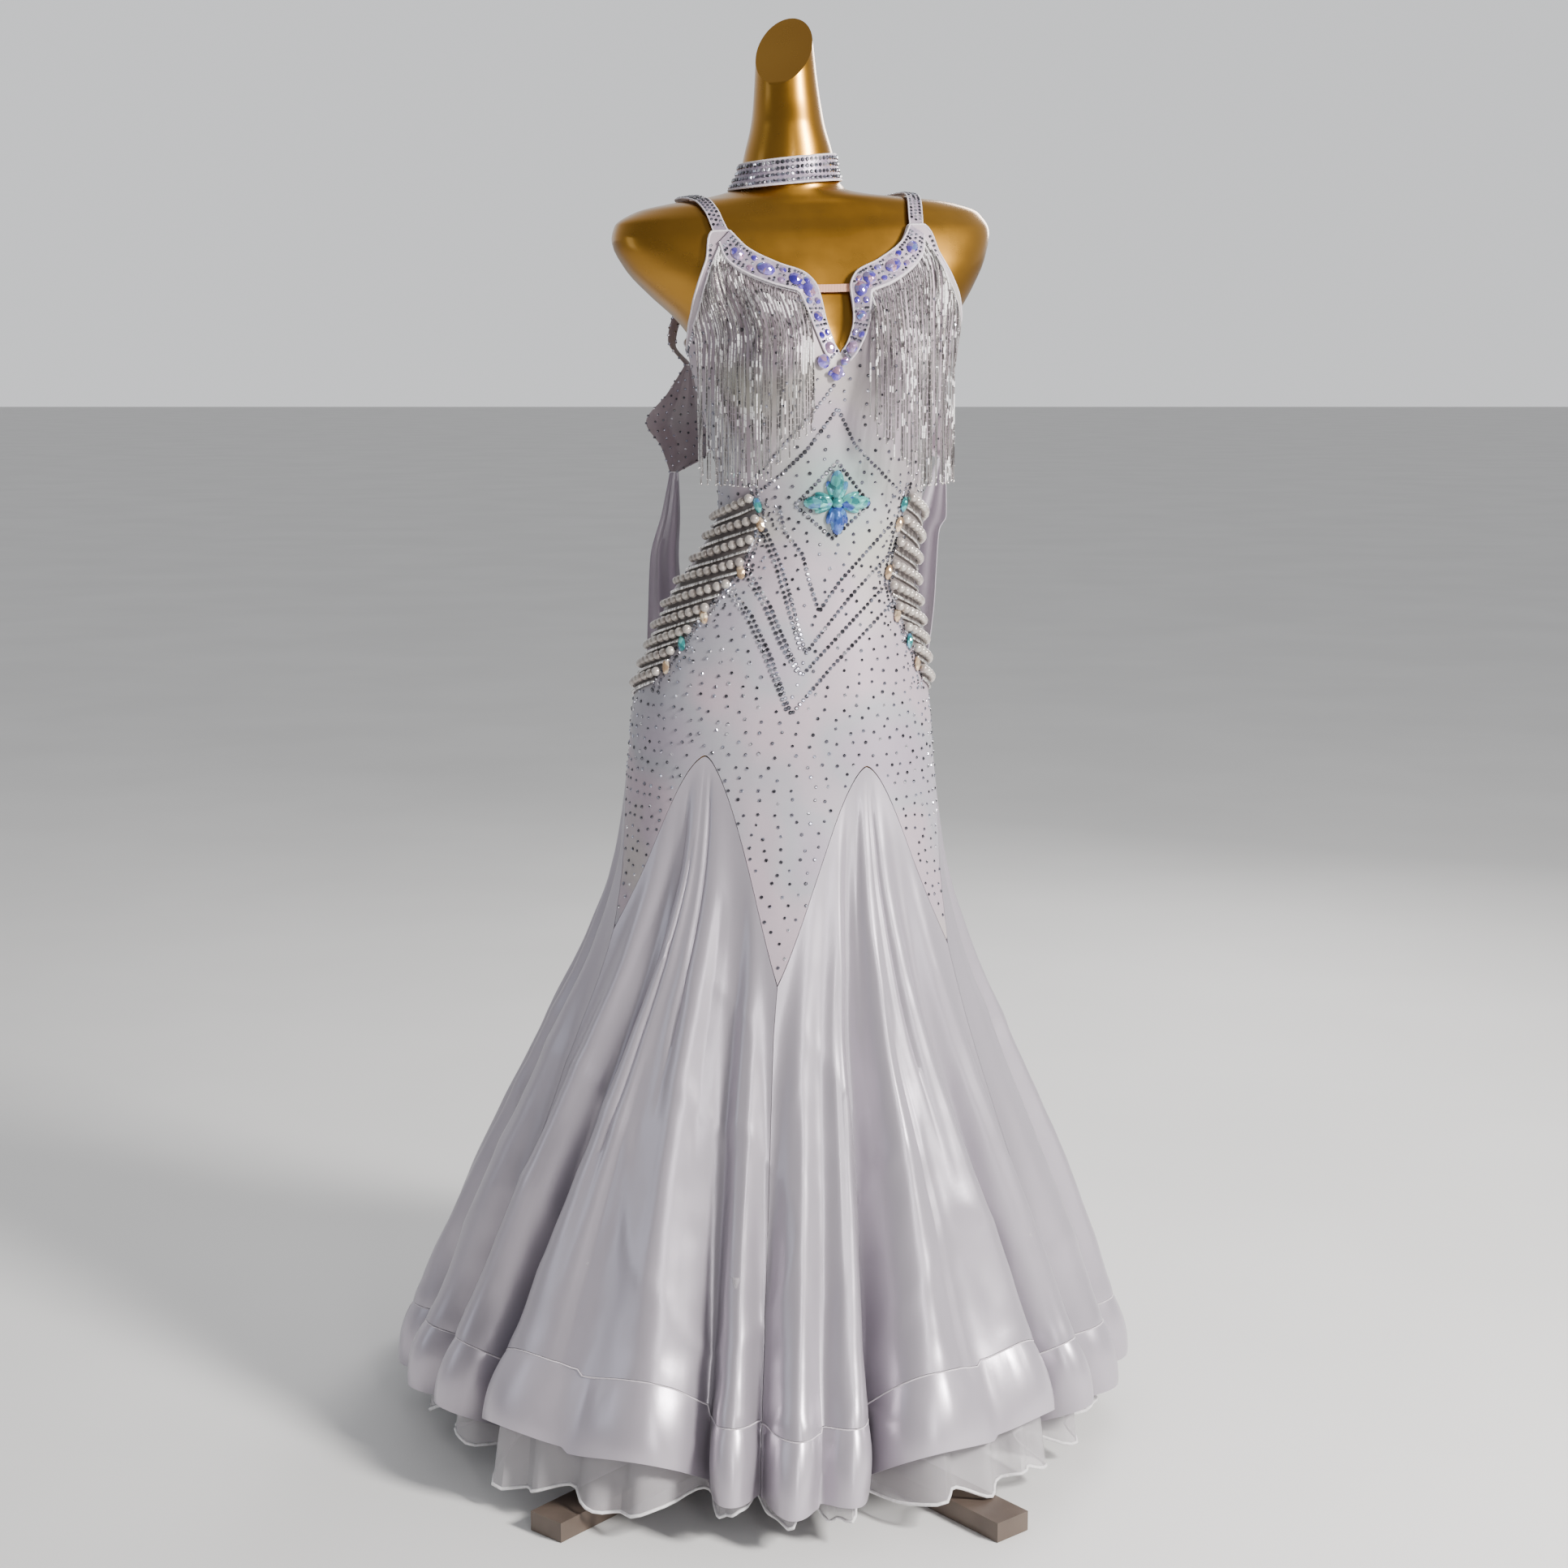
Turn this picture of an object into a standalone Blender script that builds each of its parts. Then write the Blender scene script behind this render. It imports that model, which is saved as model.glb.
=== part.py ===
"""A ballroom dance dress on a dress form: fitted stretch body, six satin godets with stiffened hem bands,
an organza flounce, jewelled neck bands, bead fringe, pearl strings, two arm floats and a choker.

Metres, +Z up. The origin is on the floor under the pole, and the dress faces -Y. Angles round the dress
run from its front towards +X.
"""

import math
from collections import namedtuple

import bmesh
import bpy
import numpy as np
from mathutils import Vector
from mathutils.bvhtree import BVHTree

# Cloth and clearances
CLOTH = 0.0016  # wall of the stretch body and the satin godets
EASE = 0.0042  # from the form to the inside of the dress
SEAM = 0.0005  # between two pieces that are sewn together
LIE = 0.0007  # from the body's outside to a trimming that is sewn on it
HIDDEN_INSET = 0.0030  # the form is a little slimmer where the dress covers it

# The form and its stand
FORM_BOTTOM = 0.74
INSET_FROM = 1.345  # the hidden inset begins below this level
INSET_FULL = 1.295
NECK_CUT = 1.577  # the middle of the neck's slanting top
NECK_CUT_DROP = 0.038  # the cut's lowest point below its middle
NECK_CUT_SIDE = math.radians(-28)  # and the direction of that point
FORM_COLUMNS = 30
BAR_LENGTH = 0.78
BAR_WIDTH = 0.046
BAR_HEIGHT = 0.022
BAR_TURN = math.radians(40)  # each bar from the Y axis
POLE_RADIUS = 0.0125
COLLAR_RADIUS = 0.028
COLLAR_HEIGHT = 0.030
ROUND_SIDES = 20

# Skirt
BAND_HEIGHT = 0.075  # the stiffened band below each godet
BAND_EXTRA = 0.0010  # its wall is this much thicker than the satin
BAND_PUFF = 0.005
VALLEY_HEM = 0.045
FULL_FOLD = 0.085  # a fold this deep is pinched narrowest
PINCH = 0.80
FOLD_GROWTH = 1.1  # how a fold's depth grows on its way down
FAN = 2.0  # how closely the folds gather at a godet's top
SATIN_LEVELS = [0.27, 0.38, 0.50]
FLOUNCE_LEVELS = [0.030, 0.145, 0.27]
FLOUNCE_WALL = 0.0012
FLOUNCE_CLEAR = 0.012  # inside the satin, lower down
FLOUNCE_RIPPLE = 0.008
FLOUNCE_LOOSE = 0.55  # how much less its folds are pinched at its hem

# Front trimmings
BAND_THICK = 0.0024
NECK_BAND_LIFT = 0.0013
GEM_RISE = 0.0030
FRINGE_STRANDS = 28
STRAND_WIDTH = 0.0019
FRINGE_LIFT = 0.0012
FRINGE_ROOT = 0.22  # half of a strand's root, as a share of the room that it has
PEARL = 0.0095
PEARL_STRINGS = 9
PEARLS_IN_STRING = 6
PEARL_LIFT = 0.0013

Section = namedtuple("Section", "level centre_x centre_y half_width front back square turn rise")

# The form from hip to neck, one row for each cross-section. front and back are the depths before and behind
# the centre, square is the superellipse's power, turn is in degrees, rise tilts the section up towards +X.
BODY = [
    Section(0.80, 0.0015, 0.000, 0.168, 0.100, 0.125, 2.15, 3, 0.00),
    Section(0.86, 0.0020, 0.000, 0.163, 0.101, 0.125, 2.15, 6, 0.00),
    Section(0.92, 0.0080, 0.000, 0.150, 0.098, 0.112, 2.10, 8, 0.00),
    Section(0.98, 0.0150, 0.000, 0.134, 0.092, 0.095, 2.10, 9, 0.00),
    Section(1.03, 0.0310, 0.000, 0.117, 0.086, 0.085, 2.05, 10, 0.00),
    Section(1.08, 0.0450, 0.000, 0.108, 0.082, 0.081, 2.05, 10, 0.00),
    Section(1.13, 0.0460, 0.000, 0.112, 0.085, 0.085, 2.10, 10, 0.00),
    Section(1.19, 0.0460, 0.000, 0.127, 0.090, 0.093, 2.15, 10, 0.00),
    Section(1.24, 0.0460, 0.002, 0.139, 0.093, 0.098, 2.15, 10, 0.00),
    Section(1.27, 0.0450, 0.004, 0.147, 0.093, 0.100, 2.20, 11, 0.01),
    Section(1.295, 0.0420, 0.006, 0.162, 0.091, 0.100, 2.25, 12, 0.02),
    Section(1.32, 0.0370, 0.008, 0.182, 0.087, 0.098, 2.35, 13, 0.03),
    Section(1.35, 0.0310, 0.010, 0.202, 0.080, 0.093, 2.45, 14, 0.04),
    Section(1.38, 0.0260, 0.012, 0.213, 0.071, 0.084, 2.50, 15, 0.045),
    Section(1.398, 0.0220, 0.013, 0.206, 0.063, 0.075, 2.45, 15, 0.045),
    Section(1.411, 0.0180, 0.013, 0.178, 0.057, 0.067, 2.35, 14, 0.04),
    Section(1.418, 0.0140, 0.012, 0.136, 0.054, 0.062, 2.20, 13, 0.035),
    Section(1.423, 0.0110, 0.010, 0.092, 0.051, 0.058, 2.10, 12, 0.03),
    Section(1.430, 0.0095, 0.008, 0.063, 0.048, 0.054, 2.05, 12, 0.02),
    Section(1.442, 0.0095, 0.007, 0.0545, 0.046, 0.050, 2.00, 12, 0.01),
]
NECK = [
    Section(1.47, 0.0100, 0.006, 0.0480, 0.043, 0.047, 2.0, 12, 0.0),
    Section(1.50, 0.0090, 0.005, 0.0400, 0.039, 0.042, 2.0, 12, 0.0),
    Section(1.535, 0.0070, 0.005, 0.0350, 0.035, 0.037, 2.0, 12, 0.0),
    Section(NECK_CUT, 0.0050, 0.005, 0.0310, 0.032, 0.032, 2.0, 12, 0.0),
]
FORM_HIP = [Section(FORM_BOTTOM, 0.0010, 0.000, 0.160, 0.094, 0.110, 2.15, 2, 0.0)]
FORM_LEVELS = [
    FORM_BOTTOM, 0.84, 0.92, 1.00, 1.07, 1.13, 1.17, 1.205, 1.23, 1.25, 1.27, 1.29, 1.31,
    1.335, 1.36, 1.385, 1.400, 1.411, 1.418, 1.423, 1.430, 1.442, 1.47, 1.505, NECK_CUT,
]

# The skirt's outline over the crests of its folds, below the hip
SKIRT = [
    Section(0.02, -0.0200, 0.126, 0.446, 0.484, 0.500, 2.15, 0, 0.0),
    Section(0.10, -0.0190, 0.117, 0.427, 0.449, 0.474, 2.15, 0, 0.0),
    Section(0.20, -0.0160, 0.098, 0.391, 0.380, 0.420, 2.10, 0, 0.0),
    Section(0.30, -0.0130, 0.075, 0.350, 0.316, 0.358, 2.10, 0, 0.0),
    Section(0.40, -0.0100, 0.052, 0.304, 0.256, 0.298, 2.10, 0, 0.0),
    Section(0.50, -0.0070, 0.032, 0.256, 0.203, 0.240, 2.10, 0, 0.0),
    Section(0.60, -0.0030, 0.015, 0.212, 0.158, 0.190, 2.15, 1, 0.0),
    Section(0.70, 0.0000, 0.005, 0.182, 0.122, 0.152, 2.15, 2, 0.0),
]

# The two cups of a general figure
CUP_ACROSS = 0.066
CUP_LEVEL = 1.243
CUP_DEPTH = 0.036
CUP_WIDE = 0.045
CUP_ABOVE = 0.055
CUP_BELOW = 0.040

# Godets: where each starts and ends on the body's zigzag seam, the height of its rounded top, and where its
# two side seams come down to the hem. All angles are in degrees.
Godet = namedtuple("Godet", "name start end top hem_start hem_end")
GODETS = [
    Godet("godet_back_left", -180, -120, 0.800, -180, -120),
    Godet("godet_side_left", -120, -60, 0.785, -120, -65),
    Godet("godet_front_left", -60, 0, 0.817, -65, 0),
    Godet("godet_front_right", 0, 60, 0.803, 0, 65),
    Godet("godet_side_right", 60, 120, 0.785, 65, 120),
    Godet("godet_back_right", 120, 180, 0.800, 120, 180),
]
POINTS = {-180: 0.565, -120: 0.590, -60: 0.615, 0: 0.570, 60: 0.597, 120: 0.590, 180: 0.565}
GODET_ROUND = 1.6  # the power of the rounded tops
PANEL_STEP = 6  # degrees between samples of the zigzag seam

# Folds at the hem: the angle and depth of each valley, then the hem's height at the crest after it, how far
# that crest stands back, and the samples on each half of the fold.
Fold = namedtuple("Fold", "angle depth hem back steps")
FOLDS = [
    Fold(-180, 0.070, 0.055, 0.000, 3),
    Fold(-164, 0.060, 0.050, 0.010, 2),
    Fold(-149, 0.075, 0.060, 0.000, 3),
    Fold(-134, 0.055, 0.050, 0.006, 2),
    Fold(-120, 0.075, 0.055, 0.000, 3),
    Fold(-105, 0.060, 0.050, 0.008, 3),
    Fold(-90, 0.080, 0.050, 0.000, 3),
    Fold(-77, 0.060, 0.062, 0.004, 2),
    Fold(-65, 0.070, 0.075, 0.010, 2),
    Fold(-52, 0.085, 0.098, 0.000, 4),
    Fold(-28, 0.014, 0.092, 0.003, 4),
    Fold(-7, 0.065, 0.052, 0.010, 2),
    Fold(0, 0.055, 0.043, 0.000, 2),
    Fold(7.5, 0.026, 0.050, 0.006, 2),
    Fold(16, 0.085, 0.094, 0.000, 4),
    Fold(36, 0.014, 0.100, 0.000, 4),
    Fold(54, 0.075, 0.072, 0.010, 2),
    Fold(65, 0.060, 0.060, 0.006, 2),
    Fold(78, 0.070, 0.055, 0.000, 3),
    Fold(91, 0.060, 0.050, 0.006, 3),
    Fold(105, 0.075, 0.055, 0.000, 3),
    Fold(120, 0.060, 0.050, 0.008, 3),
    Fold(136, 0.075, 0.060, 0.000, 2),
    Fold(150, 0.055, 0.050, 0.008, 3),
    Fold(165, 0.070, 0.055, 0.000, 2),
]

# Upper edges of the body's front and back: the panel's column, counted from its middle, its distance from
# the middle, and its height. The last column is the side seam.
Edge = namedtuple("Edge", "column across level")
SHOULDER_TAB = 1.383  # where the straps are sewn to the front
BACK_TAB = 1.335  # and to the back
UNDERARM = 1.262
FRONT_EDGE = [
    Edge(0, 0.0000, 1.251), Edge(1, 0.0090, 1.262), Edge(2, 0.0172, 1.288), Edge(3, 0.0185, 1.318),
    Edge(4, 0.0280, 1.334), Edge(6, 0.0550, 1.346), Edge(8, 0.0850, 1.364), Edge(9, 0.1010, SHOULDER_TAB),
    Edge(10, 0.1170, SHOULDER_TAB), Edge(11, 0.1280, 1.355), Edge(12, 0.1400, 1.328), Edge(13, 0.1470, 1.300),
]
NECKLINE_ROWS = 8  # of these, the ones from the V to the strap
BACK_EDGE = [
    Edge(0, 0.000, 1.205), Edge(2, 0.028, 1.212), Edge(4, 0.052, 1.245), Edge(6, 0.066, 1.300),
    Edge(8, 0.072, BACK_TAB), Edge(10, 0.088, BACK_TAB), Edge(12, 0.104, 1.305), Edge(13, 0.118, 1.285),
]
FRONT_LEVELS = [0.86, 0.94, 1.00, 1.045, 1.09, 1.14, 1.18, 1.21]
BACK_LEVELS = [0.86, 0.94, 1.00, 1.045, 1.09, 1.14]
FRONT_TOP_ROWS = 6
BACK_TOP_ROWS = 4
HIP_ROWS = 2
LEAN_FROM = 1.03  # above this the panel's columns lean towards the points of its upper edge

# The jewelled neck bands: widths along the neckline, from 0 at the V to 1 at the strap
NECK_BAND_WIDTHS = [(0.0, 0.013), (0.25, 0.017), (0.45, 0.023), (0.7, 0.025), (0.88, 0.024), (1.0, 0.016)]
NECK_GEMS = 6

# Fringe
FRINGE_FROM = 0.30  # along the neckline
FRINGE_TO = 0.88
FRINGE_TURN = 0.66  # the share of the strands that hang under the neck band; the rest are on the armhole
FRINGE_HANG = (0.036, 0.104, 0.1385)  # from the middle to the first strand, to the turn and to the last one
FRINGE_OVER = 1.250  # where a strand passes over the cup and starts to hang free

# The pearl strings' front edge on the hip, from the top down
PearlEdge = namedtuple("PearlEdge", "across level")
PEARL_FRONT = [
    PearlEdge(0.084, 1.112), PearlEdge(0.074, 1.066), PearlEdge(0.079, 1.018), PearlEdge(0.100, 0.975),
    PearlEdge(0.124, 0.935), PearlEdge(0.144, 0.893),
]
PEARL_SWEEP = 48  # degrees that a string runs round the hip
PEARL_FALL = 0.040

# Straps over the shoulders
STRAP_WIDTH = 0.0145
STRAP_CLEAR = 0.0026
STRAP_STEPS = 15
STRAP_BOW = {-1: 0.042, 1: 0.016}  # how far each strap swings out over the shoulder

# Arm floats. Each row is a place across the strip: x, y and z of its outer edge, then of its inner edge
Across = namedtuple("Across", "outer_x outer_y outer_z inner_x inner_y inner_z")
FLOAT_WALL = 0.0014
FLOAT_TOP = 1.315  # where the loops are sewn to the back
FLOAT_TACK = 0.818  # where the streamers are tacked to the hip
LOOP_LEFT = [
    Across(-0.122, 0.1120, 1.296, -0.112, 0.1140, 1.293),
    Across(-0.128, 0.1030, 1.268, -0.119, 0.1040, 1.264),
    Across(-0.109, 0.0990, 1.240, -0.101, 0.0990, 1.240),
]
CUFF_LEFT = [
    Across(-0.109, 0.0990, 1.2395, -0.101, 0.0990, 1.2395),
    Across(-0.130, 0.1000, 1.207, -0.090, 0.1060, 1.200),
    Across(-0.154, 0.0960, 1.175, -0.078, 0.1100, 1.165),
    Across(-0.137, 0.1000, 1.146, -0.082, 0.1080, 1.140),
    Across(-0.127, 0.0990, 1.118, -0.117, 0.1010, 1.118),
]
STREAMER_LEFT = [
    Across(-0.127, 0.0990, 1.1174, -0.117, 0.1010, 1.1174),
    Across(-0.137, 0.0960, 1.070, -0.116, 0.1100, 1.070),
    Across(-0.151, 0.0980, 1.018, -0.118, 0.1150, 1.018),
    Across(-0.154, 0.1020, 0.960, -0.113, 0.1230, 0.960),
    Across(-0.156, 0.1080, 0.905, -0.108, 0.1360, 0.905),
    Across(-0.150, 0.1150, 0.860, -0.098, 0.1480, 0.860),
]
LOOP_RIGHT = [
    Across(0.178, 0.1160, 1.289, 0.169, 0.1170, 1.287),
    Across(0.190, 0.1080, 1.240, 0.181, 0.1090, 1.239),
    Across(0.190, 0.1050, 1.196, 0.182, 0.1060, 1.196),
]
CUFF_RIGHT = [
    Across(0.190, 0.1050, 1.1954, 0.182, 0.1060, 1.1954),
    Across(0.200, 0.1020, 1.175, 0.158, 0.1160, 1.180),
    Across(0.201, 0.1010, 1.155, 0.148, 0.1180, 1.158),
    Across(0.192, 0.1040, 1.133, 0.182, 0.1060, 1.133),
]
STREAMER_RIGHT = [
    Across(0.192, 0.1040, 1.1324, 0.182, 0.1060, 1.1324),
    Across(0.193, 0.1020, 1.070, 0.160, 0.1160, 1.070),
    Across(0.185, 0.1060, 1.050, 0.150, 0.1220, 1.045),
    Across(0.180, 0.1120, 0.960, 0.136, 0.1320, 0.960),
    Across(0.173, 0.1200, 0.900, 0.124, 0.1440, 0.900),
    Across(0.165, 0.1260, 0.860, 0.112, 0.1540, 0.860),
]


class Curve:
    """A smooth curve through a table's points, flat past its ends, that never overshoots them."""

    def __init__(self, xs, ys):
        self.xs, self.ys = list(xs), list(ys)
        steps = [b - a for a, b in zip(self.xs[:-1], self.xs[1:])]
        slopes = [(b - a) / step for a, b, step in zip(self.ys[:-1], self.ys[1:], steps)]
        inner = [2 * a * b / (a + b) if a * b > 0 else 0.0 for a, b in zip(slopes[:-1], slopes[1:])]
        self.slopes = [slopes[0], *inner, slopes[-1]]

    def __call__(self, x):
        if x <= self.xs[0]:
            return self.ys[0]
        if x >= self.xs[-1]:
            return self.ys[-1]
        i = int(np.searchsorted(self.xs, x)) - 1
        step = self.xs[i + 1] - self.xs[i]
        t = (x - self.xs[i]) / step
        return (
            (1 + 2 * t) * (1 - t) ** 2 * self.ys[i]
            + t * (1 - t) ** 2 * step * self.slopes[i]
            + t * t * (3 - 2 * t) * self.ys[i + 1]
            + t * t * (t - 1) * step * self.slopes[i + 1]
        )


class Shape:
    """A smooth surface through a table of cross-sections."""

    def __init__(self, rows):
        self.low, self.high = rows[0].level, rows[-1].level
        levels = [row.level for row in rows]
        self.curves = [Curve(levels, [row[k] for row in rows]) for k in range(len(Section._fields))]
        self.known = {}

    def section(self, level):
        level = round(level, 7)
        if level not in self.known:
            self.known[level] = Section(*(curve(level) for curve in self.curves))
        return self.known[level]

    def point(self, angle, level):
        s = self.section(level)
        sine, cosine = math.sin(angle), math.cos(angle)
        x = s.half_width * math.copysign(abs(sine) ** (2 / s.square), sine)
        depth = s.front if cosine > 0 else s.back
        y = -depth * math.copysign(abs(cosine) ** (2 / s.square), cosine)
        if cosine > 0:
            y -= cups(x, level) * min(1.0, 2.5 * cosine)
        turn = math.radians(s.turn)
        across = x * math.cos(turn) - y * math.sin(turn)
        along = x * math.sin(turn) + y * math.cos(turn)
        return np.array([s.centre_x + across, s.centre_y + along, level + s.rise * across])

    def normal(self, angle, level):
        around = self.point(angle + 0.02, level) - self.point(angle - 0.02, level)
        over = self.point(angle, min(self.high, level + 0.003))
        normal = np.cross(around, over - self.point(angle, max(self.low, level - 0.003)))
        return normal / np.linalg.norm(normal)

    def skin(self, angle, level, out):
        """A point moved out square to the surface."""
        return self.point(angle, level) + self.normal(angle, level) * out

    def angle_at(self, across, level):
        """The angle on the front at a distance from the middle plane."""
        s = self.section(level)
        share = min(1.0, abs(across) / s.half_width)
        return math.copysign(math.asin(share ** (s.square / 2)), across)


def cups(x, level):
    """How far the cups stand out in front, at a distance from the middle."""
    tall = CUP_ABOVE if level > CUP_LEVEL else CUP_BELOW
    height = math.exp(-(((level - CUP_LEVEL) / tall) ** 2))
    return CUP_DEPTH * height * sum(math.exp(-(((x - side * CUP_ACROSS) / CUP_WIDE) ** 2)) for side in (-1, 1))


DRESS = Shape(SKIRT + BODY)
FORM = Shape(FORM_HIP + BODY + NECK)


def back_angle(across, level):
    return math.copysign(math.pi, across) - DRESS.angle_at(across, level)


class Outside:
    """The outside of finished pieces, which other pieces are laid on."""

    reach = 0.03
    flat = 0.7  # a face turned further from the smooth surface than this cosine is an edge

    def __init__(self, *pieces):
        points, faces = [], []
        for piece in pieces:
            start = len(points)
            points += [v.co.copy() for v in piece.data.vertices]
            faces += [[start + i for i in polygon.vertices] for polygon in piece.data.polygons]
        self.tree = BVHTree.FromPolygons(points, faces)

    def face(self, angle, level):
        """The point of the outside at an angle and level, and the way out from it."""
        normal = DRESS.normal(angle, level)
        base = DRESS.point(angle, level)
        hit, out, _, _ = self.tree.ray_cast(Vector(base + normal * self.reach), Vector(-normal), 1.5 * self.reach)
        if hit is None or out.dot(Vector(normal)) < self.flat:
            return base + normal * (EASE + CLOTH), normal
        return np.array(hit), np.array(out)

    def place(self, angle, level, out):
        """A point moved out from the outside at an angle and level."""
        point, outwards = self.face(angle, level)
        return point + outwards * out

    def front(self, across, level, out):
        return self.place(DRESS.angle_at(across, level), level, out)

    def above(self, x, y, out):
        """A point over the top of the pieces, moved out from the face there."""
        hit, normal, _, _ = self.tree.ray_cast(Vector((x, y, NECK_CUT)), Vector((0, 0, -1)))
        return np.array(hit + normal * out)


def solid(name, points, faces, material, smooth=True):
    """One closed object from points and faces, with its faces turned outwards."""
    bm = bmesh.new()
    made = [bm.verts.new(point) for point in points]
    for face in faces:
        bm.faces.new([made[i] for i in face])
    bmesh.ops.recalc_face_normals(bm, faces=bm.faces)
    mesh = bpy.data.meshes.new(name)
    bm.to_mesh(mesh)
    bm.free()
    if smooth:
        mesh.shade_smooth()
        mesh.set_sharp_from_angle(angle=math.radians(50))
    obj = bpy.data.objects.new(name, mesh)
    obj.data.materials.append(material)
    bpy.context.scene.collection.objects.link(obj)
    return obj


def unit(vectors):
    return vectors / np.maximum(np.linalg.norm(vectors, axis=2, keepdims=True), 1e-12)


def grid_normals(grid, ring=False):
    """The unit normals of a grid of points, rows from the bottom up and columns round the dress, each one
    halfway between the faces beside it however long they are."""
    if ring:
        ahead = unit(np.roll(grid, -1, axis=1) - grid)
        across = ahead + np.roll(ahead, 1, axis=1)
    else:
        steps = unit(np.diff(grid, axis=1))
        across = np.concatenate([steps[:, :1], steps[:, 1:] + steps[:, :-1], steps[:, -1:]], axis=1)
    steps = unit(np.diff(grid, axis=0))
    up = np.concatenate([steps[:1], steps[1:] + steps[:-1], steps[-1:]])
    return unit(np.cross(across, up))


def wall(name, inner, outer, material, ring=False):
    """A cloth wall between two grids of points that match."""
    rows, columns = inner.shape[:2]
    points = [*outer.reshape(-1, 3), *inner.reshape(-1, 3)]
    back = rows * columns
    last = columns if ring else columns - 1
    faces = []
    for r in range(rows - 1):
        for c in range(last):
            a, b = r * columns + c, r * columns + (c + 1) % columns
            d, e = a + columns, b + columns
            faces.append((a, b, e, d))
            faces.append((a + back, d + back, e + back, b + back))
    for c in range(last):
        for r in (0, rows - 1):
            a, b = r * columns + c, r * columns + (c + 1) % columns
            faces.append((a, b, b + back, a + back))
    if not ring:
        for r in range(rows - 1):
            for c in (0, columns - 1):
                a, d = r * columns + c, (r + 1) * columns + c
                faces.append((a, d, d + back, a + back))
    return solid(name, points, faces, material)


def lofted(name, rings, material, smooth=True):
    """A solid through rings of points that match, with flat ends."""
    count = len(rings[0])
    points = [p for ring in rings for p in ring]
    faces = []
    for r in range(len(rings) - 1):
        for c in range(count):
            a, b = r * count + c, r * count + (c + 1) % count
            faces.append((a, b, b + count, a + count))
    faces.append(tuple(range(count))[::-1])
    faces.append(tuple((len(rings) - 1) * count + c for c in range(count)))
    return solid(name, points, faces, material, smooth)


def make_material(name, colour, roughness, metallic=0.0, alpha=1.0):
    made = bpy.data.materials.new(name)
    made.use_nodes = True
    shader = made.node_tree.nodes["Principled BSDF"]
    shader.inputs["Base Color"].default_value = (*colour, 1)
    shader.inputs["Roughness"].default_value = roughness
    shader.inputs["Metallic"].default_value = metallic
    shader.inputs["Alpha"].default_value = alpha
    made.diffuse_color = (*colour, alpha)
    return made


def make_form(gold):
    """The torso with its neck and shoulders, in one piece."""
    rings = []
    for level in FORM_LEVELS:
        hidden = min(1.0, max(0.0, (INSET_FROM - level) / (INSET_FROM - INSET_FULL)))
        ring = []
        for c in range(FORM_COLUMNS):
            angle = 2 * math.pi * c / FORM_COLUMNS
            point = FORM.point(angle, level)
            if hidden:
                inwards = FORM.normal(angle, level) * [1, 1, 0]
                point -= inwards * HIDDEN_INSET * hidden
            if level == NECK_CUT:
                point[2] -= NECK_CUT_DROP * math.cos(angle - NECK_CUT_SIDE)
            ring.append(point)
        rings.append(ring)
    return lofted("dress_form", rings, gold)


def make_stand(dark, steel):
    """Two crossed bars welded flat, a collar on them and a pole up to the form."""
    half, side = BAR_LENGTH / 2, BAR_WIDTH / 2
    along = [Vector((math.sin(t), math.cos(t))) for t in (BAR_TURN, -BAR_TURN)]
    arms = [along[0], -along[1], -along[0], along[1]]
    outline = []
    for i, out in enumerate(arms):
        right = Vector((out.y, -out.x))
        next_out = arms[(i + 1) % 4]
        outline += [out * half - right * side, out * half + right * side]
        corner = (out + next_out).normalized()
        outline.append(corner * side / abs(corner.dot(right)))
    rings = [[(p.x, p.y, z) for p in outline] for z in (0.0, BAR_HEIGHT)]
    lofted("stand_bars", rings, dark, smooth=False)
    collar_top = BAR_HEIGHT + SEAM + COLLAR_HEIGHT
    turns = [2 * math.pi * i / ROUND_SIDES for i in range(ROUND_SIDES)]
    for name, radius, low, high in (
        ("stand_collar", COLLAR_RADIUS, BAR_HEIGHT + SEAM, collar_top),
        ("stand_pole", POLE_RADIUS, collar_top + SEAM, FORM_BOTTOM - SEAM),
    ):
        rings = [[(radius * math.cos(t), radius * math.sin(t), z) for t in turns] for z in (low, high)]
        lofted(name, rings, steel)


def zigzag_tables():
    """Angles round the skirt, and the height of the seam between body and godets at each."""
    angles, levels = [], []
    for godet in GODETS:
        middle = (godet.start + godet.end) / 2
        for angle in range(godet.start, godet.end, PANEL_STEP):
            share = abs(angle - middle) / (godet.end - middle)
            point = POINTS[godet.start if angle < middle else godet.end]
            angles.append(angle)
            levels.append(point + (godet.top - point) * (1 - share**GODET_ROUND))
    return angles + [180], levels + [levels[0]]


ZIGZAG_ANGLES, ZIGZAG_LEVELS = zigzag_tables()


def zigzag(degrees, above):
    """The zigzag seam's height, moved half a seam's gap up or down, square to its slope."""
    degrees = (degrees + 180) % 360 - 180
    level = float(np.interp(degrees, ZIGZAG_ANGLES, ZIGZAG_LEVELS))
    ahead = float(np.interp(degrees + 1, ZIGZAG_ANGLES, ZIGZAG_LEVELS))
    behind = float(np.interp(degrees - 1, ZIGZAG_ANGLES, ZIGZAG_LEVELS))
    run = DRESS.section(level).half_width * math.radians(1)
    slope = max(abs(ahead - level), abs(level - behind)) / run
    return level + above * SEAM * math.hypot(1, slope)


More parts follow.
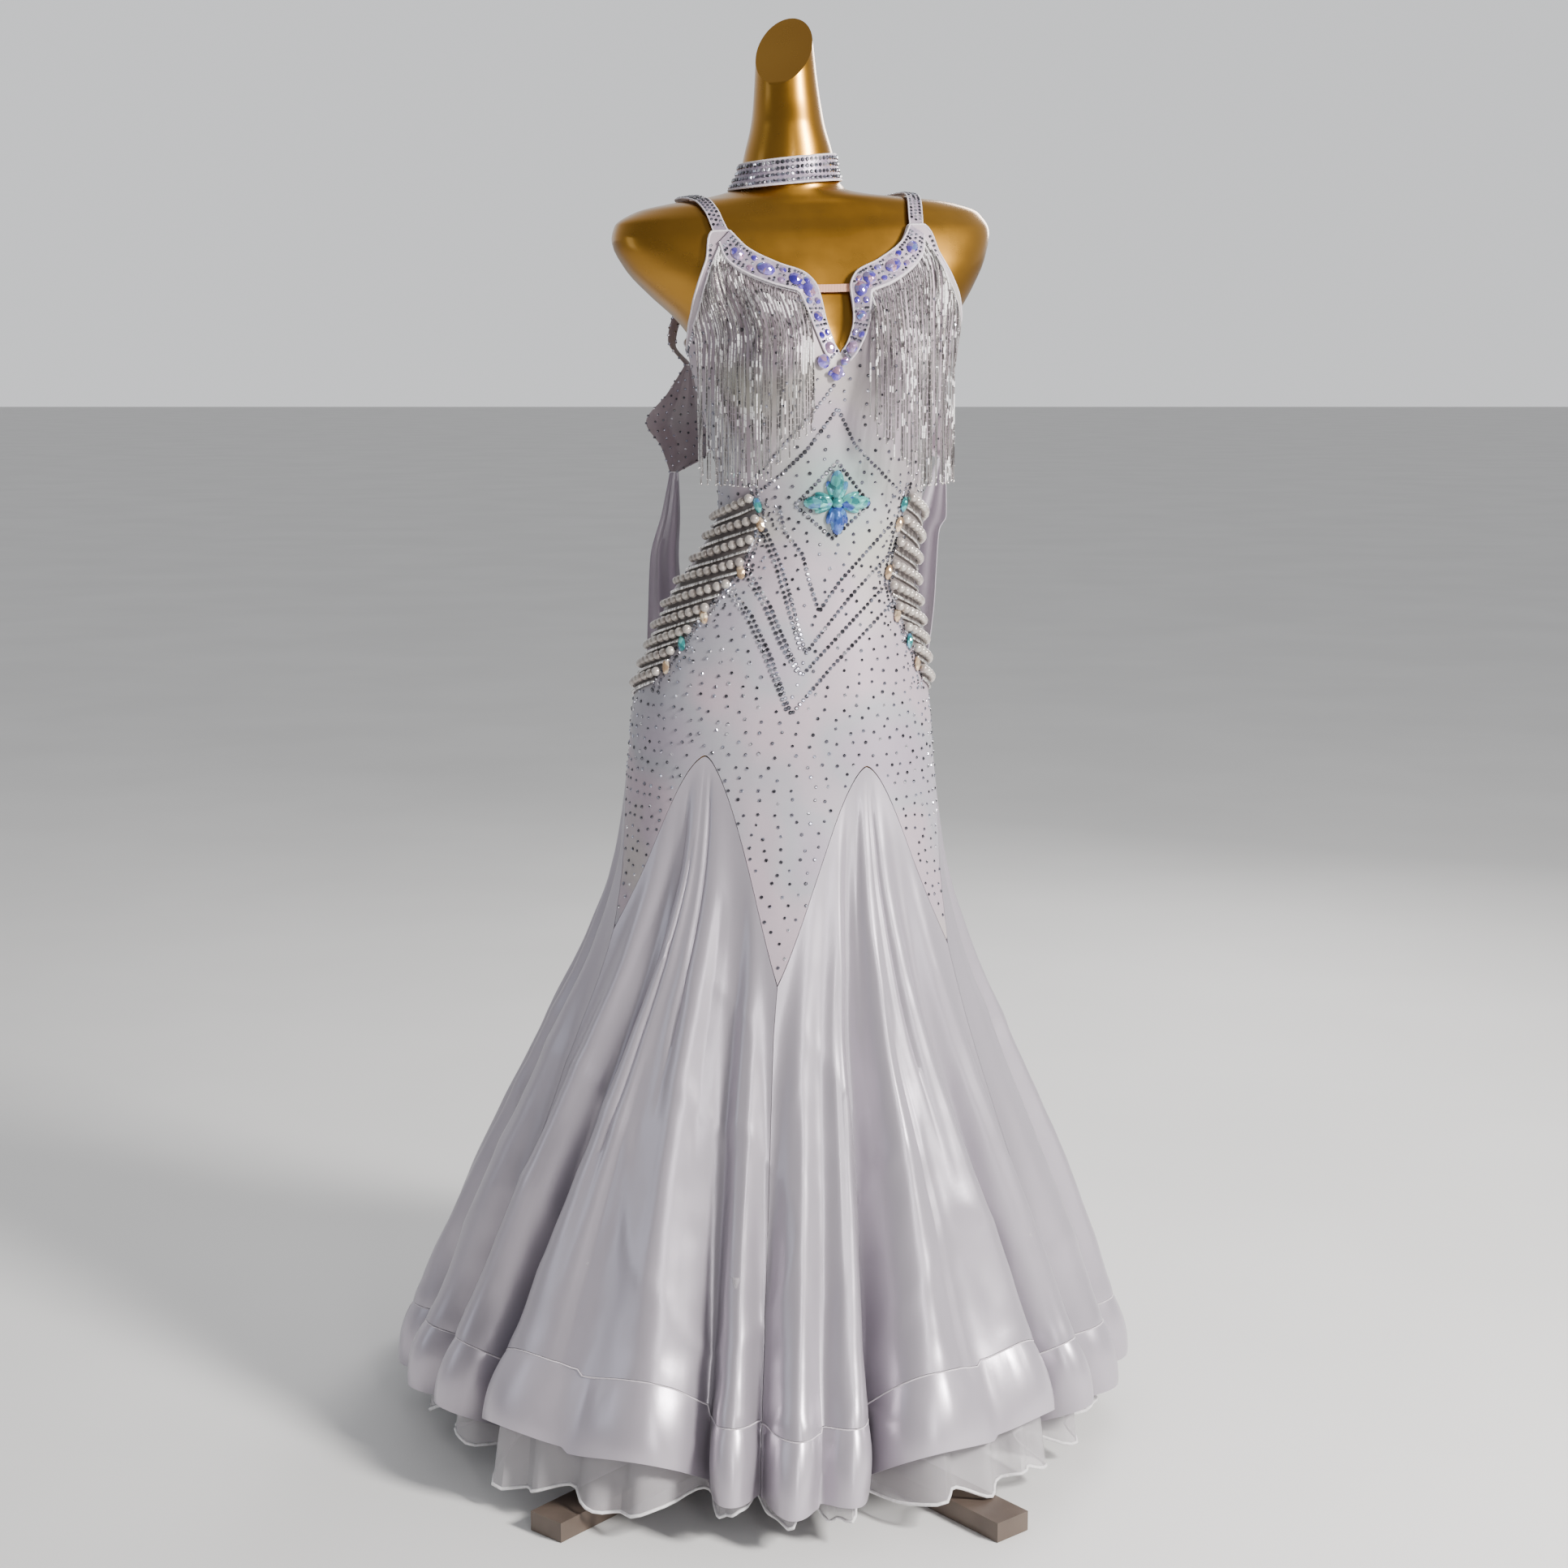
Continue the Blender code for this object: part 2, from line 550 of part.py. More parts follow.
def make_body_panel(name, middle, edge, levels, top_rows, cloth):
    """The front or back of the fitted body, from the zigzag seam up to its top edge."""
    last = 90 // PANEL_STEP
    edge_columns = [row.column for row in edge] + [last]
    edge_angles = [math.degrees(DRESS.angle_at(row.across, row.level)) for row in edge] + [90]
    edge_levels = [row.level for row in edge] + [UNDERARM]
    inner, outer = [], []
    for c in range(-last, last + 1):
        low_angle = c * PANEL_STEP
        top_angle = math.copysign(np.interp(abs(c), edge_columns, edge_angles), c)
        top = float(np.interp(abs(c), edge_columns, edge_levels))
        low = zigzag(middle + low_angle, 1)
        column = [low + (levels[0] - low) * r / HIP_ROWS for r in range(HIP_ROWS)] + levels
        column += [levels[-1] + (top - levels[-1]) * (r + 1) / top_rows for r in range(top_rows)]
        inner_column, outer_column = [], []
        for level in column:
            lean = max(0.0, level - LEAN_FROM) / (top - LEAN_FROM)
            angle = math.radians(middle + low_angle + (top_angle - low_angle) * lean)
            if abs(c) == last:
                angle -= math.copysign(SEAM, c) / DRESS.section(level).back
            inner_column.append(DRESS.skin(angle, level, EASE))
            outer_column.append(DRESS.skin(angle, level, EASE + CLOTH))
        inner.append(inner_column)
        outer.append(outer_column)
    inner, outer = (np.array(side).transpose(1, 0, 2) for side in (inner, outer))
    return wall(name, inner, outer, cloth)


Column = namedtuple("Column", "godet top_angle plain pinched depth crest hem ripple")


def skirt_columns():
    """The samples round the hem: angles even and pinched, the fold's depth, and how far it is a crest."""
    columns = []
    ends = FOLDS[1:] + [FOLDS[0]._replace(angle=180)]
    for first, second in zip(FOLDS, ends):
        godet = next(g for g in GODETS if g.hem_start <= first.angle < g.hem_end)
        hem_middle = (godet.hem_start + godet.hem_end) / 2
        top_middle = (godet.start + godet.end) / 2
        half = (second.angle - first.angle) / 2
        steps = [(first, 1, i) for i in range(first.steps)]
        steps += [(second, -1, i) for i in range(first.steps, 0, -1)]
        for valley, side, i in steps:
            u = i / first.steps
            fold = (1 + math.cos(math.pi * u)) / 2
            full = min(1.0, valley.depth / FULL_FOLD)
            plain = valley.angle + side * half * u
            pinched = plain - side * half * PINCH * full * math.sin(math.pi * u) / math.pi
            share = (plain - hem_middle) / (godet.hem_end - hem_middle)
            fanned = math.copysign(abs(share) ** FAN, share)
            top_angle = top_middle + (godet.end - top_middle) * fanned
            valley_hem = VALLEY_HEM * full + first.hem * (1 - full)
            hem = valley_hem + (first.hem - valley_hem) * (1 - fold)
            depth = first.back + (valley.depth - first.back) * fold
            ripple = (1 - fold) * (i % 2)
            columns.append(Column(godet, top_angle, plain, pinched, depth, 1 - fold, hem, ripple))
    return columns


COLUMNS = skirt_columns()


def godet_top(column):
    return zigzag(column.top_angle, -1)


def skirt_point(column, level, loose=0.0, inside=0.0):
    """A point in the middle of the satin, or further inside with its folds less pinched."""
    top = godet_top(column)
    fallen = min(1.0, max(0.0, (top - level) / (top - column.hem)))
    hem_angle = column.plain + (column.pinched - column.plain) * fallen * (1 - loose)
    angle = math.radians(column.top_angle + (hem_angle - column.top_angle) * fallen)
    point = DRESS.skin(angle, level, EASE + CLOTH / 2)
    s = DRESS.section(level)
    inwards = np.array([s.centre_x - point[0], s.centre_y - point[1], 0])
    depth = column.depth * fallen**FOLD_GROWTH + inside
    return point + inwards / np.linalg.norm(inwards) * depth


def godet_walls(name, grid, normals, outwards, inwards, material):
    """Cuts a ring round the whole skirt into the godets' walls, with a seam's gap between them."""
    along = np.cross(np.gradient(grid, axis=0), normals)
    along /= np.linalg.norm(along, axis=2, keepdims=True)
    for godet in GODETS:
        own = [i for i, column in enumerate(COLUMNS) if column.godet is godet]
        own.append((own[-1] + 1) % len(COLUMNS))
        shift = np.zeros((1, len(own), 1))
        shift[0, 0], shift[0, -1] = SEAM, -SEAM
        middle = grid[:, own] + along[:, own] * shift
        inner = middle - normals[:, own] * inwards
        outer = middle + normals[:, own] * outwards[:, own]
        wall(godet.name.replace("godet", name), inner, outer, material)


def make_skirt(satin, band_satin, organza):
    """Six godets, the hem bands below them, and the flounce that hangs inside."""
    grid = []
    for column in COLUMNS:
        top = godet_top(column)
        levels = [column.hem + BAND_HEIGHT * share for share in (0.0, 0.5, 1.0)]
        levels += [levels[-1] + 2 * SEAM, *SATIN_LEVELS, (SATIN_LEVELS[-1] + top) / 2, top]
        grid.append([skirt_point(column, level) for level in levels])
    grid = np.array(grid).transpose(1, 0, 2)
    normals = grid_normals(grid, ring=True)
    normals[2] = normals[3]
    puff = np.array([0.3, 1.0, 0.0])[:, None, None] * BAND_PUFF + BAND_EXTRA
    crest = np.array([column.crest for column in COLUMNS])[None, :, None]
    even = np.full((1, len(COLUMNS), 1), CLOTH / 2)
    godet_walls("hem_band", grid[:3], normals[:3], CLOTH / 2 + puff * crest, CLOTH / 2, band_satin)
    godet_walls("godet", grid[3:], normals[3:], even, CLOTH / 2, satin)
    flounce_seat = grid[4] - normals[4] * (CLOTH / 2 + FLOUNCE_WALL / 2 + SEAM)

    flounce = []
    for column in COLUMNS:
        hanging = []
        for level in FLOUNCE_LEVELS[:-1]:
            down = (FLOUNCE_LEVELS[-1] - level) / (FLOUNCE_LEVELS[-1] - FLOUNCE_LEVELS[0])
            inside = down * (FLOUNCE_CLEAR + FLOUNCE_RIPPLE * column.ripple)
            hanging.append(skirt_point(column, level, FLOUNCE_LOOSE * down, inside))
        flounce.append(hanging)
    flounce = np.array(flounce).transpose(1, 0, 2)
    flounce = np.concatenate([flounce, flounce_seat[None]])
    even = np.full((1, len(COLUMNS), 1), FLOUNCE_WALL / 2)
    godet_walls("flounce", flounce, grid_normals(flounce, ring=True), even, FLOUNCE_WALL / 2, organza)


NECKLINE = FRONT_EDGE[:NECKLINE_ROWS]
NECKLINE_LENGTHS = [0.0]
for before, after in zip(NECKLINE[:-1], NECKLINE[1:]):
    step_length = math.hypot(after.across - before.across, after.level - before.level)
    NECKLINE_LENGTHS.append(NECKLINE_LENGTHS[-1] + step_length)
NECKLINE_ACROSS = Curve(NECKLINE_LENGTHS, [row.across for row in NECKLINE])
NECKLINE_LEVEL = Curve(NECKLINE_LENGTHS, [row.level for row in NECKLINE])
NECK_BAND_WIDTH = Curve(*zip(*NECK_BAND_WIDTHS))


def neckline(share):
    """A place along the neck edge, from 0 at the bottom of the V to 1 at the strap."""
    at = share * NECKLINE_LENGTHS[-1]
    return np.array([NECKLINE_ACROSS(at), NECKLINE_LEVEL(at)])


def neck_band_place(share, down):
    """A place on a neck band: along it, and from 0 on the neck edge to 1 on its lower edge."""
    way = neckline(min(1, share + 0.04)) - neckline(max(0, share - 0.04))
    way /= np.linalg.norm(way)
    place = neckline(share) + np.array([way[1], -way[0]]) * NECK_BAND_WIDTH(share) * down
    return max(place[0], 1.5 * SEAM), place[1]


def make_neck_band(name, side, body, cloth):
    """The stiff jewelled band from the V up to the strap, raised where its large stones are."""
    columns = NECK_GEMS * 3
    inner, outer = [], []
    for down in (1.0, 0.5, 0.0):
        inner_row, outer_row = [], []
        for c in range(columns + 1):
            across, level = neck_band_place(0.02 + 0.97 * c / columns, down)
            stone = down == 0.5 and c % 3 == 1
            inner_row.append(body.front(side * across, level, NECK_BAND_LIFT))
            outer_row.append(body.front(side * across, level, NECK_BAND_LIFT + BAND_THICK + GEM_RISE * stone))
        inner.append(inner_row)
        outer.append(outer_row)
    return wall(name, np.array(inner), np.array(outer), cloth)


def comb(name, stations, strands, sides, material):
    """A strip with strands grown out of it. A station holds the strip's three corners: top, front and back.
    A strand is the list of its rings, and grows from the underside between two stations."""
    points = [corner for station in stations for corner in station]
    faces = [(0, 2, 1), (3 * len(stations) - 3, 3 * len(stations) - 2, 3 * len(stations) - 1)]
    for i in range(len(stations) - 1):
        top, front, back = 3 * i, 3 * i + 1, 3 * i + 2
        faces.append((top, front, front + 3, top + 3))
        faces.append((back, top, top + 3, back + 3))
        if i % 2:
            faces.append((front, back, back + 3, front + 3))
        elif sides == 3:
            faces.append((back, back + 3, front + 3))
    for i, rings in enumerate(strands):
        front, back = 6 * i + 1, 6 * i + 2
        ring = [front, back, front + 3] if sides == 3 else [front, back, back + 3, front + 3]
        for corners in rings:
            below = [len(points) + k for k in range(sides)]
            points += corners
            for k in range(sides):
                m = (k + 1) % sides
                faces.append((ring[k], ring[m], below[m], below[k]))
            ring = below
        faces.append(tuple(ring))
    return solid(name, points, faces, material)


FRINGE_LINE = [neck_band_place(FRINGE_FROM + (FRINGE_TO - FRINGE_FROM) * i / 16, 1.0) for i in range(17)]
FRINGE_LENGTHS = [0.0]
for before, after in zip(FRINGE_LINE[:-1], FRINGE_LINE[1:]):
    FRINGE_LENGTHS.append(FRINGE_LENGTHS[-1] + math.dist(before, after))


def fringe_root(share):
    """A place on the line that the fringe is sewn to: under the neck band, then down the armhole."""
    below = 0.0018
    if share < FRINGE_TURN:
        at = FRINGE_LENGTHS[-1] * share / FRINGE_TURN
        across, level = (np.interp(at, FRINGE_LENGTHS, line) for line in zip(*FRINGE_LINE))
        return across + below * 0.5, level - below
    down = (share - FRINGE_TURN) / (1 - FRINGE_TURN)
    across, level = neck_band_place(FRINGE_TO, 1.0)
    end_across, end_level = 0.1425, 1.288
    bulge = 0.006 * math.sin(math.pi * down)
    return (
        across + below * 0.5 + (end_across - across) * down + bulge,
        level - below + (end_level - level) * down + bulge / 2,
    )


def make_fringe(name, side, body, beads):
    """Bead strands that run over the cup and then hang straight down, on one narrow strip."""
    stations, strands = [], []
    for i in range(FRINGE_STRANDS):
        share = (i + 0.5) / FRINGE_STRANDS
        for at in (share - FRINGE_ROOT / FRINGE_STRANDS, share + FRINGE_ROOT / FRINGE_STRANDS):
            across, level = fringe_root(at)
            stations.append((
                body.front(side * across, level + 0.0016, FRINGE_LIFT + 0.0008),
                body.front(side * across, level, FRINGE_LIFT + 0.0018),
                body.front(side * across, level, FRINGE_LIFT),
            ))
        across, level = fringe_root(share)
        root_angle = DRESS.angle_at(across, level)
        hang_across = float(np.interp(share, (0, FRINGE_TURN, 1), FRINGE_HANG))
        hang_angle = DRESS.angle_at(hang_across, FRINGE_OVER)
        over = FRINGE_OVER - 0.012 * share
        end = 1.190 - 0.075 * min(1.0, share / 0.45) + 0.006 * math.sin(i * 2.4)
        out = LIE + 0.0045
        lying = []
        for way, turned, lift in ((0.12, 0.2, 0.8), (0.4, 0.55, 1.0), (0.7, 0.8, 1.0), (1.0, 1.0, 1.0)):
            angle = root_angle + (hang_angle - root_angle) * turned
            lying.append(body.place(side * angle, level + (over - level) * way, out * lift))
        bend = lying[-1]
        tail = np.array([bend[0], bend[1], end])
        front = DRESS.normal(side * hang_angle, over) * [1, 1, 0]
        front /= np.linalg.norm(front)
        right = side * np.cross([0.0, 0.0, 1.0], front)
        half = STRAND_WIDTH / 2
        strands.append([
            [p - right * half + front * half * 0.6, p - front * half, p + right * half + front * half * 0.6]
            for p in (*lying, tail)
        ])
    return comb(name, stations, strands, 3, beads)


PEARL_ACROSS = Curve([row.level for row in PEARL_FRONT[::-1]], [row.across for row in PEARL_FRONT[::-1]])


def make_pearls(name, side, body, pearl):
    """Strings of pearls that run from a jewelled edge back round the hip."""
    stations, strands = [], []
    top, bottom = PEARL_FRONT[0].level, PEARL_FRONT[-1].level
    for i in range(PEARL_STRINGS):
        share = (i + 0.5) / PEARL_STRINGS
        for at in (share - 0.30 / PEARL_STRINGS, share + 0.30 / PEARL_STRINGS):
            level = top + (bottom - top) * at
            angle = DRESS.angle_at(PEARL_ACROSS(level), level)
            stations.append((
                body.place(side * (angle - 0.028), level, PEARL_LIFT + 0.0015),
                body.place(side * angle, level, PEARL_LIFT + 0.0040),
                body.place(side * angle, level, PEARL_LIFT),
            ))
        level = top + (bottom - top) * share
        angle = DRESS.angle_at(PEARL_ACROSS(level), level)
        rings = []
        for k in range(1, 2 * PEARLS_IN_STRING + 1):
            along = k / (2 * PEARLS_IN_STRING)
            fat = PEARL * (0.42 if k % 2 else 0.16)
            here = side * (angle + math.radians(PEARL_SWEEP * along + 1.5))
            height = level - PEARL_FALL * along * (1 - 0.25 * along)
            point, outwards = body.face(here, height)
            middle = point + outwards * (PEARL_LIFT + fat)
            down = np.array([0, 0, -1]) + outwards * outwards[2]
            rings.append([
                middle - down * fat + outwards * fat, middle - down * fat - outwards * fat,
                middle + down * fat - outwards * fat, middle + down * fat + outwards * fat,
            ])
        strands.append(rings)
    return comb(name, stations, strands, 4, pearl)


def make_strap(name, side, form, cloth):
    """A strap laid over the shoulder of the form, between the tabs of front and back."""
    tab_across, tab_level = 0.109, SHOULDER_TAB + SEAM * 2
    back_across, back_level = 0.080, BACK_TAB + SEAM * 2
    front = DRESS.skin(DRESS.angle_at(side * tab_across, tab_level), tab_level, 0)
    back = DRESS.skin(back_angle(side * back_across, back_level), back_level, 0)
    wall_thick = CLOTH * 1.2
    inner, outer = [], []
    for i in range(STRAP_STEPS + 1):
        t = i / STRAP_STEPS
        rise = max(0.0, 1 - i / 3, 1 - (STRAP_STEPS - i) / 3)
        clear = STRAP_CLEAR + (EASE - STRAP_CLEAR) * rise
        bow = side * STRAP_BOW[side] * math.sin(math.pi * t)
        inner_row, outer_row = [], []
        for edge in (-side * STRAP_WIDTH / 2, side * STRAP_WIDTH / 2):
            if i == 0:
                angle = DRESS.angle_at(side * tab_across + edge, tab_level)
                places = [DRESS.skin(angle, tab_level, out) for out in (EASE, EASE + wall_thick)]
            elif i == STRAP_STEPS:
                angle = back_angle(side * back_across + edge, back_level)
                places = [DRESS.skin(angle, back_level, out) for out in (EASE, EASE + wall_thick)]
            else:
                x, y, _ = front * (1 - t) + back * t + [bow + edge, 0, 0]
                places = [form.above(x, y, out) for out in (clear, clear + wall_thick)]
            inner_row.append(places[0])
            outer_row.append(places[1])
        inner.append(inner_row)
        outer.append(outer_row)
    return wall(name, np.array(inner), np.array(outer), cloth)


def make_choker(cloth):
    """A band round the neck, lower on the wearer's right, and wider where the neck spreads."""
    columns, middle, half_height, tilt = 26, 1.448, 0.0135, 0.006
    neck_base = 1.4445
    inner, outer = [], []
    for drop in (-half_height, 0.0, half_height):
        inner_row, outer_row = [], []
        for c in range(columns):
            angle = 2 * math.pi * c / columns
            level = middle + tilt * math.sin(angle) + drop
            spread = 0.0016 + 0.6 * max(0.0, neck_base - level)
            for row, out in ((inner_row, spread), (outer_row, spread + BAND_THICK)):
                point = FORM.skin(angle, max(level, neck_base), out)
                row.append([point[0], point[1], level])
        inner.append(inner_row)
        outer.append(outer_row)
    return wall("choker", np.array(inner), np.array(outer), cloth, ring=True)


def make_bridge(elastic):
    """The short elastic that holds the V together."""
    middle, height = 1.3195, 0.008
    inner, outer = [], []
    for level in (middle - height / 2, middle + height / 2):
        reach = NECKLINE_ACROSS(np.interp(level, [row.level for row in NECKLINE], NECKLINE_LENGTHS)) - SEAM
        angles = [DRESS.angle_at(reach * share, level) for share in (-1, -0.5, 0, 0.5, 1)]
        inner.append([DRESS.skin(angle, level, EASE) for angle in angles])
        outer.append([DRESS.skin(angle, level, EASE + CLOTH) for angle in angles])
    return wall("bridge_elastic", np.array(inner), np.array(outer), elastic)


def make_waist_jewel(body, glass):
    """Four large stones set as petals, in one cluster."""
    level, petal, shoulder, notch, spread = 1.094, 0.036, 0.025, 0.014, 0.42
    ring = []
    for tip in range(4):
        for reach, turn in ((petal, 0.0), (shoulder, spread), (notch, math.pi / 4), (shoulder, math.pi / 2 - spread)):
            turn += math.pi / 2 * tip
            ring.append((reach * math.sin(turn), level + reach * math.cos(turn)))
    back = [body.front(x, z, LIE) for x, z in ring]
    girdle = [body.front(x, z, LIE + 0.003) for x, z in ring]
    crown = [body.front(x * 0.55, level + (z - level) * 0.55, LIE + 0.0085) for x, z in ring]
    return lofted("waist_jewel", [back, girdle, crown], glass)


def make_float(name, rows, material, body=None, top=None, tack=None):
    """A strip of cloth between an outer and an inner edge, bowed a little across its width. top and tack are
    the distances from the middle where its ends are sewn to the back of the body."""
    grid = []
    for row in rows:
        outer_edge, inner_edge = np.array(row[:3]), np.array(row[3:])
        bow = np.linalg.norm(outer_edge - inner_edge) * 0.12
        grid.append([outer_edge, (outer_edge + inner_edge) / 2 + [0, bow, 0], inner_edge])
    if top:
        angles = [back_angle(across, FLOAT_TOP) for across in np.linspace(*top, 3)]
        grid.insert(0, [body.place(angle, FLOAT_TOP, LIE + FLOAT_WALL / 2) for angle in angles])
    if tack:
        angles = [back_angle(across, FLOAT_TACK) for across in np.linspace(*tack, 3)]
        grid.append([body.place(angle, FLOAT_TACK, 2 * LIE + FLOAT_WALL / 2) for angle in angles])
    grid = np.array(grid)[::-1]
    half = grid_normals(grid) * FLOAT_WALL / 2
    return wall(name, grid - half, grid + half, material)


def main():
    for obj in list(bpy.data.objects):
        bpy.data.objects.remove(obj, do_unlink=True)

    gold = make_material("form_gold", (0.62, 0.40, 0.13), 0.28, metallic=1.0)
    dark = make_material("stand_dark", (0.16, 0.13, 0.11), 0.5)
    steel = make_material("stand_steel", (0.55, 0.55, 0.56), 0.3, metallic=1.0)
    stretch = make_material("stretch_cloth", (0.70, 0.67, 0.71), 0.55)
    satin = make_material("satin", (0.72, 0.70, 0.75), 0.32)
    band_satin = make_material("band_satin", (0.74, 0.71, 0.76), 0.32)
    organza = make_material("organza", (0.78, 0.76, 0.78), 0.5, alpha=0.45)
    jewelled = make_material("jewelled_band", (0.66, 0.62, 0.70), 0.35)
    beads = make_material("bead_fringe", (0.78, 0.76, 0.77), 0.12, metallic=0.8)
    pearl = make_material("pearl", (0.86, 0.83, 0.80), 0.2)
    glass = make_material("crystal", (0.55, 0.80, 0.78), 0.08)
    elastic = make_material("nude_elastic", (0.80, 0.58, 0.48), 0.6)

    form = Outside(make_form(gold))
    make_stand(dark, steel)
    front = make_body_panel("body_front", 0, FRONT_EDGE, FRONT_LEVELS, FRONT_TOP_ROWS, stretch)
    back = make_body_panel("body_back", 180, BACK_EDGE, BACK_LEVELS, BACK_TOP_ROWS, stretch)
    body = Outside(front, back)
    make_skirt(satin, band_satin, organza)
    for side, word in ((-1, "left"), (1, "right")):
        make_neck_band(f"neck_band_{word}", side, body, jewelled)
        make_fringe(f"fringe_{word}", side, body, beads)
        make_pearls(f"pearls_{word}", side, body, pearl)
        make_strap(f"strap_{word}", side, form, jewelled)
    make_choker(jewelled)
    make_bridge(elastic)
    make_waist_jewel(body, glass)
    make_float("float_loop_left", LOOP_LEFT, stretch, body, top=(-0.094, -0.086))
    make_float("float_cuff_left", CUFF_LEFT, stretch)
    make_float("float_streamer_left", STREAMER_LEFT, satin, body, tack=(-0.120, -0.075))
    make_float("float_loop_right", LOOP_RIGHT, stretch, body, top=(0.094, 0.086))
    make_float("float_cuff_right", CUFF_RIGHT, stretch)
    make_float("float_streamer_right", STREAMER_RIGHT, satin, body, tack=(0.120, 0.075))


main()
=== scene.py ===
"""The looks of a ballroom dance dress on a gold dress form: cloth, stones, beads, pearls, light and camera.

Metres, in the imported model's frame: +Z up, the origin on the floor under the pole, the dress faces -Y.
Angles round the dress run from its front towards +X.
"""

import math
from collections import namedtuple

import bmesh
import bpy
import numpy as np
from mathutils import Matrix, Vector, noise
from mathutils.bvhtree import BVHTree


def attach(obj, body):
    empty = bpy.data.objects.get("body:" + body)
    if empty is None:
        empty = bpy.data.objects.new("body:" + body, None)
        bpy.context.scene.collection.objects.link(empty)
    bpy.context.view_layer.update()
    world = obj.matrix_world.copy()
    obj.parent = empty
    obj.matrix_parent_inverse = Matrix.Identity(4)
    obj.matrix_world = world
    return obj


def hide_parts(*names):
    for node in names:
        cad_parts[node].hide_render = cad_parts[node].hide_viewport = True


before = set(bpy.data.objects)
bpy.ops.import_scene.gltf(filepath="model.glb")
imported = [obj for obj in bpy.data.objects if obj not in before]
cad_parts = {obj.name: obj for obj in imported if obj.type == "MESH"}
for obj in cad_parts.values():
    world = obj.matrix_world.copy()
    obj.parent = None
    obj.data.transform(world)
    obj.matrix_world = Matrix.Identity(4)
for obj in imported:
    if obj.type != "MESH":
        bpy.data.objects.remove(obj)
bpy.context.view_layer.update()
random = np.random.default_rng(11)

# Sizes that the solids have too
CLOTH = 0.0016
EASE = 0.0042  # from the body's sections out to the inside of its cloth
SEAM = 0.0005
LIE = 0.0007  # under a bead or a pearl that lies on the cloth
HIDDEN_INSET = 0.0030  # the form is this much slimmer under the dress
FORM_BOTTOM = 0.74
INSET_FROM = 1.345
INSET_FULL = 1.295
NECK_CUT = 1.577
NECK_CUT_DROP = 0.038
NECK_CUT_SIDE = math.radians(-28)
NECK_TILT_FROM = 1.50
BAND_HEIGHT = 0.075
BAND_PUFF = 0.005
VALLEY_HEM = 0.045
FULL_FOLD = 0.085
PINCH = 0.80
FOLD_GROWTH = 1.1
FAN = 2.0
FLOUNCE_LOW = 0.030
FLOUNCE_TOP = 0.27
FLOUNCE_CLEAR = 0.012
FLOUNCE_RIPPLE = 0.008
FLOUNCE_LOOSE = 0.55
FLOUNCE_HALF_WALL = 0.00022
BAND_THICK = 0.0024

Section = namedtuple("Section", "level centre_x centre_y half_width front back square turn rise")
BODY = [Section(*row) for row in (
    (0.80, 0.0015, 0.000, 0.168, 0.100, 0.125, 2.15, 3, 0.00),
    (0.86, 0.0020, 0.000, 0.163, 0.101, 0.125, 2.15, 6, 0.00),
    (0.92, 0.0080, 0.000, 0.150, 0.098, 0.112, 2.10, 8, 0.00),
    (0.98, 0.0150, 0.000, 0.134, 0.092, 0.095, 2.10, 9, 0.00),
    (1.03, 0.0310, 0.000, 0.117, 0.086, 0.085, 2.05, 10, 0.00),
    (1.08, 0.0450, 0.000, 0.108, 0.082, 0.081, 2.05, 10, 0.00),
    (1.13, 0.0460, 0.000, 0.112, 0.085, 0.085, 2.10, 10, 0.00),
    (1.19, 0.0460, 0.000, 0.127, 0.090, 0.093, 2.15, 10, 0.00),
    (1.24, 0.0460, 0.002, 0.139, 0.093, 0.098, 2.15, 10, 0.00),
    (1.27, 0.0450, 0.004, 0.147, 0.093, 0.100, 2.20, 11, 0.01),
    (1.295, 0.0420, 0.006, 0.162, 0.091, 0.100, 2.25, 12, 0.02),
    (1.32, 0.0370, 0.008, 0.182, 0.087, 0.098, 2.35, 13, 0.03),
    (1.35, 0.0310, 0.010, 0.202, 0.080, 0.093, 2.45, 14, 0.04),
    (1.38, 0.0260, 0.012, 0.213, 0.071, 0.084, 2.50, 15, 0.045),
    (1.398, 0.0220, 0.013, 0.206, 0.063, 0.075, 2.45, 15, 0.045),
    (1.411, 0.0180, 0.013, 0.178, 0.057, 0.067, 2.35, 14, 0.04),
    (1.418, 0.0140, 0.012, 0.136, 0.054, 0.062, 2.20, 13, 0.035),
    (1.423, 0.0110, 0.010, 0.092, 0.051, 0.058, 2.10, 12, 0.03),
    (1.430, 0.0095, 0.008, 0.063, 0.048, 0.054, 2.05, 12, 0.02),
    (1.442, 0.0095, 0.007, 0.0545, 0.046, 0.050, 2.00, 12, 0.01),
)]
NECK = [Section(*row) for row in (
    (1.47, 0.0100, 0.006, 0.0480, 0.043, 0.047, 2.0, 12, 0.0),
    (1.50, 0.0090, 0.005, 0.0400, 0.039, 0.042, 2.0, 12, 0.0),
    (1.535, 0.0070, 0.005, 0.0350, 0.035, 0.037, 2.0, 12, 0.0),
    (NECK_CUT, 0.0050, 0.005, 0.0310, 0.032, 0.032, 2.0, 12, 0.0),
)]
FORM_HIP = [Section(FORM_BOTTOM, 0.0010, 0.000, 0.160, 0.094, 0.110, 2.15, 2, 0.0)]
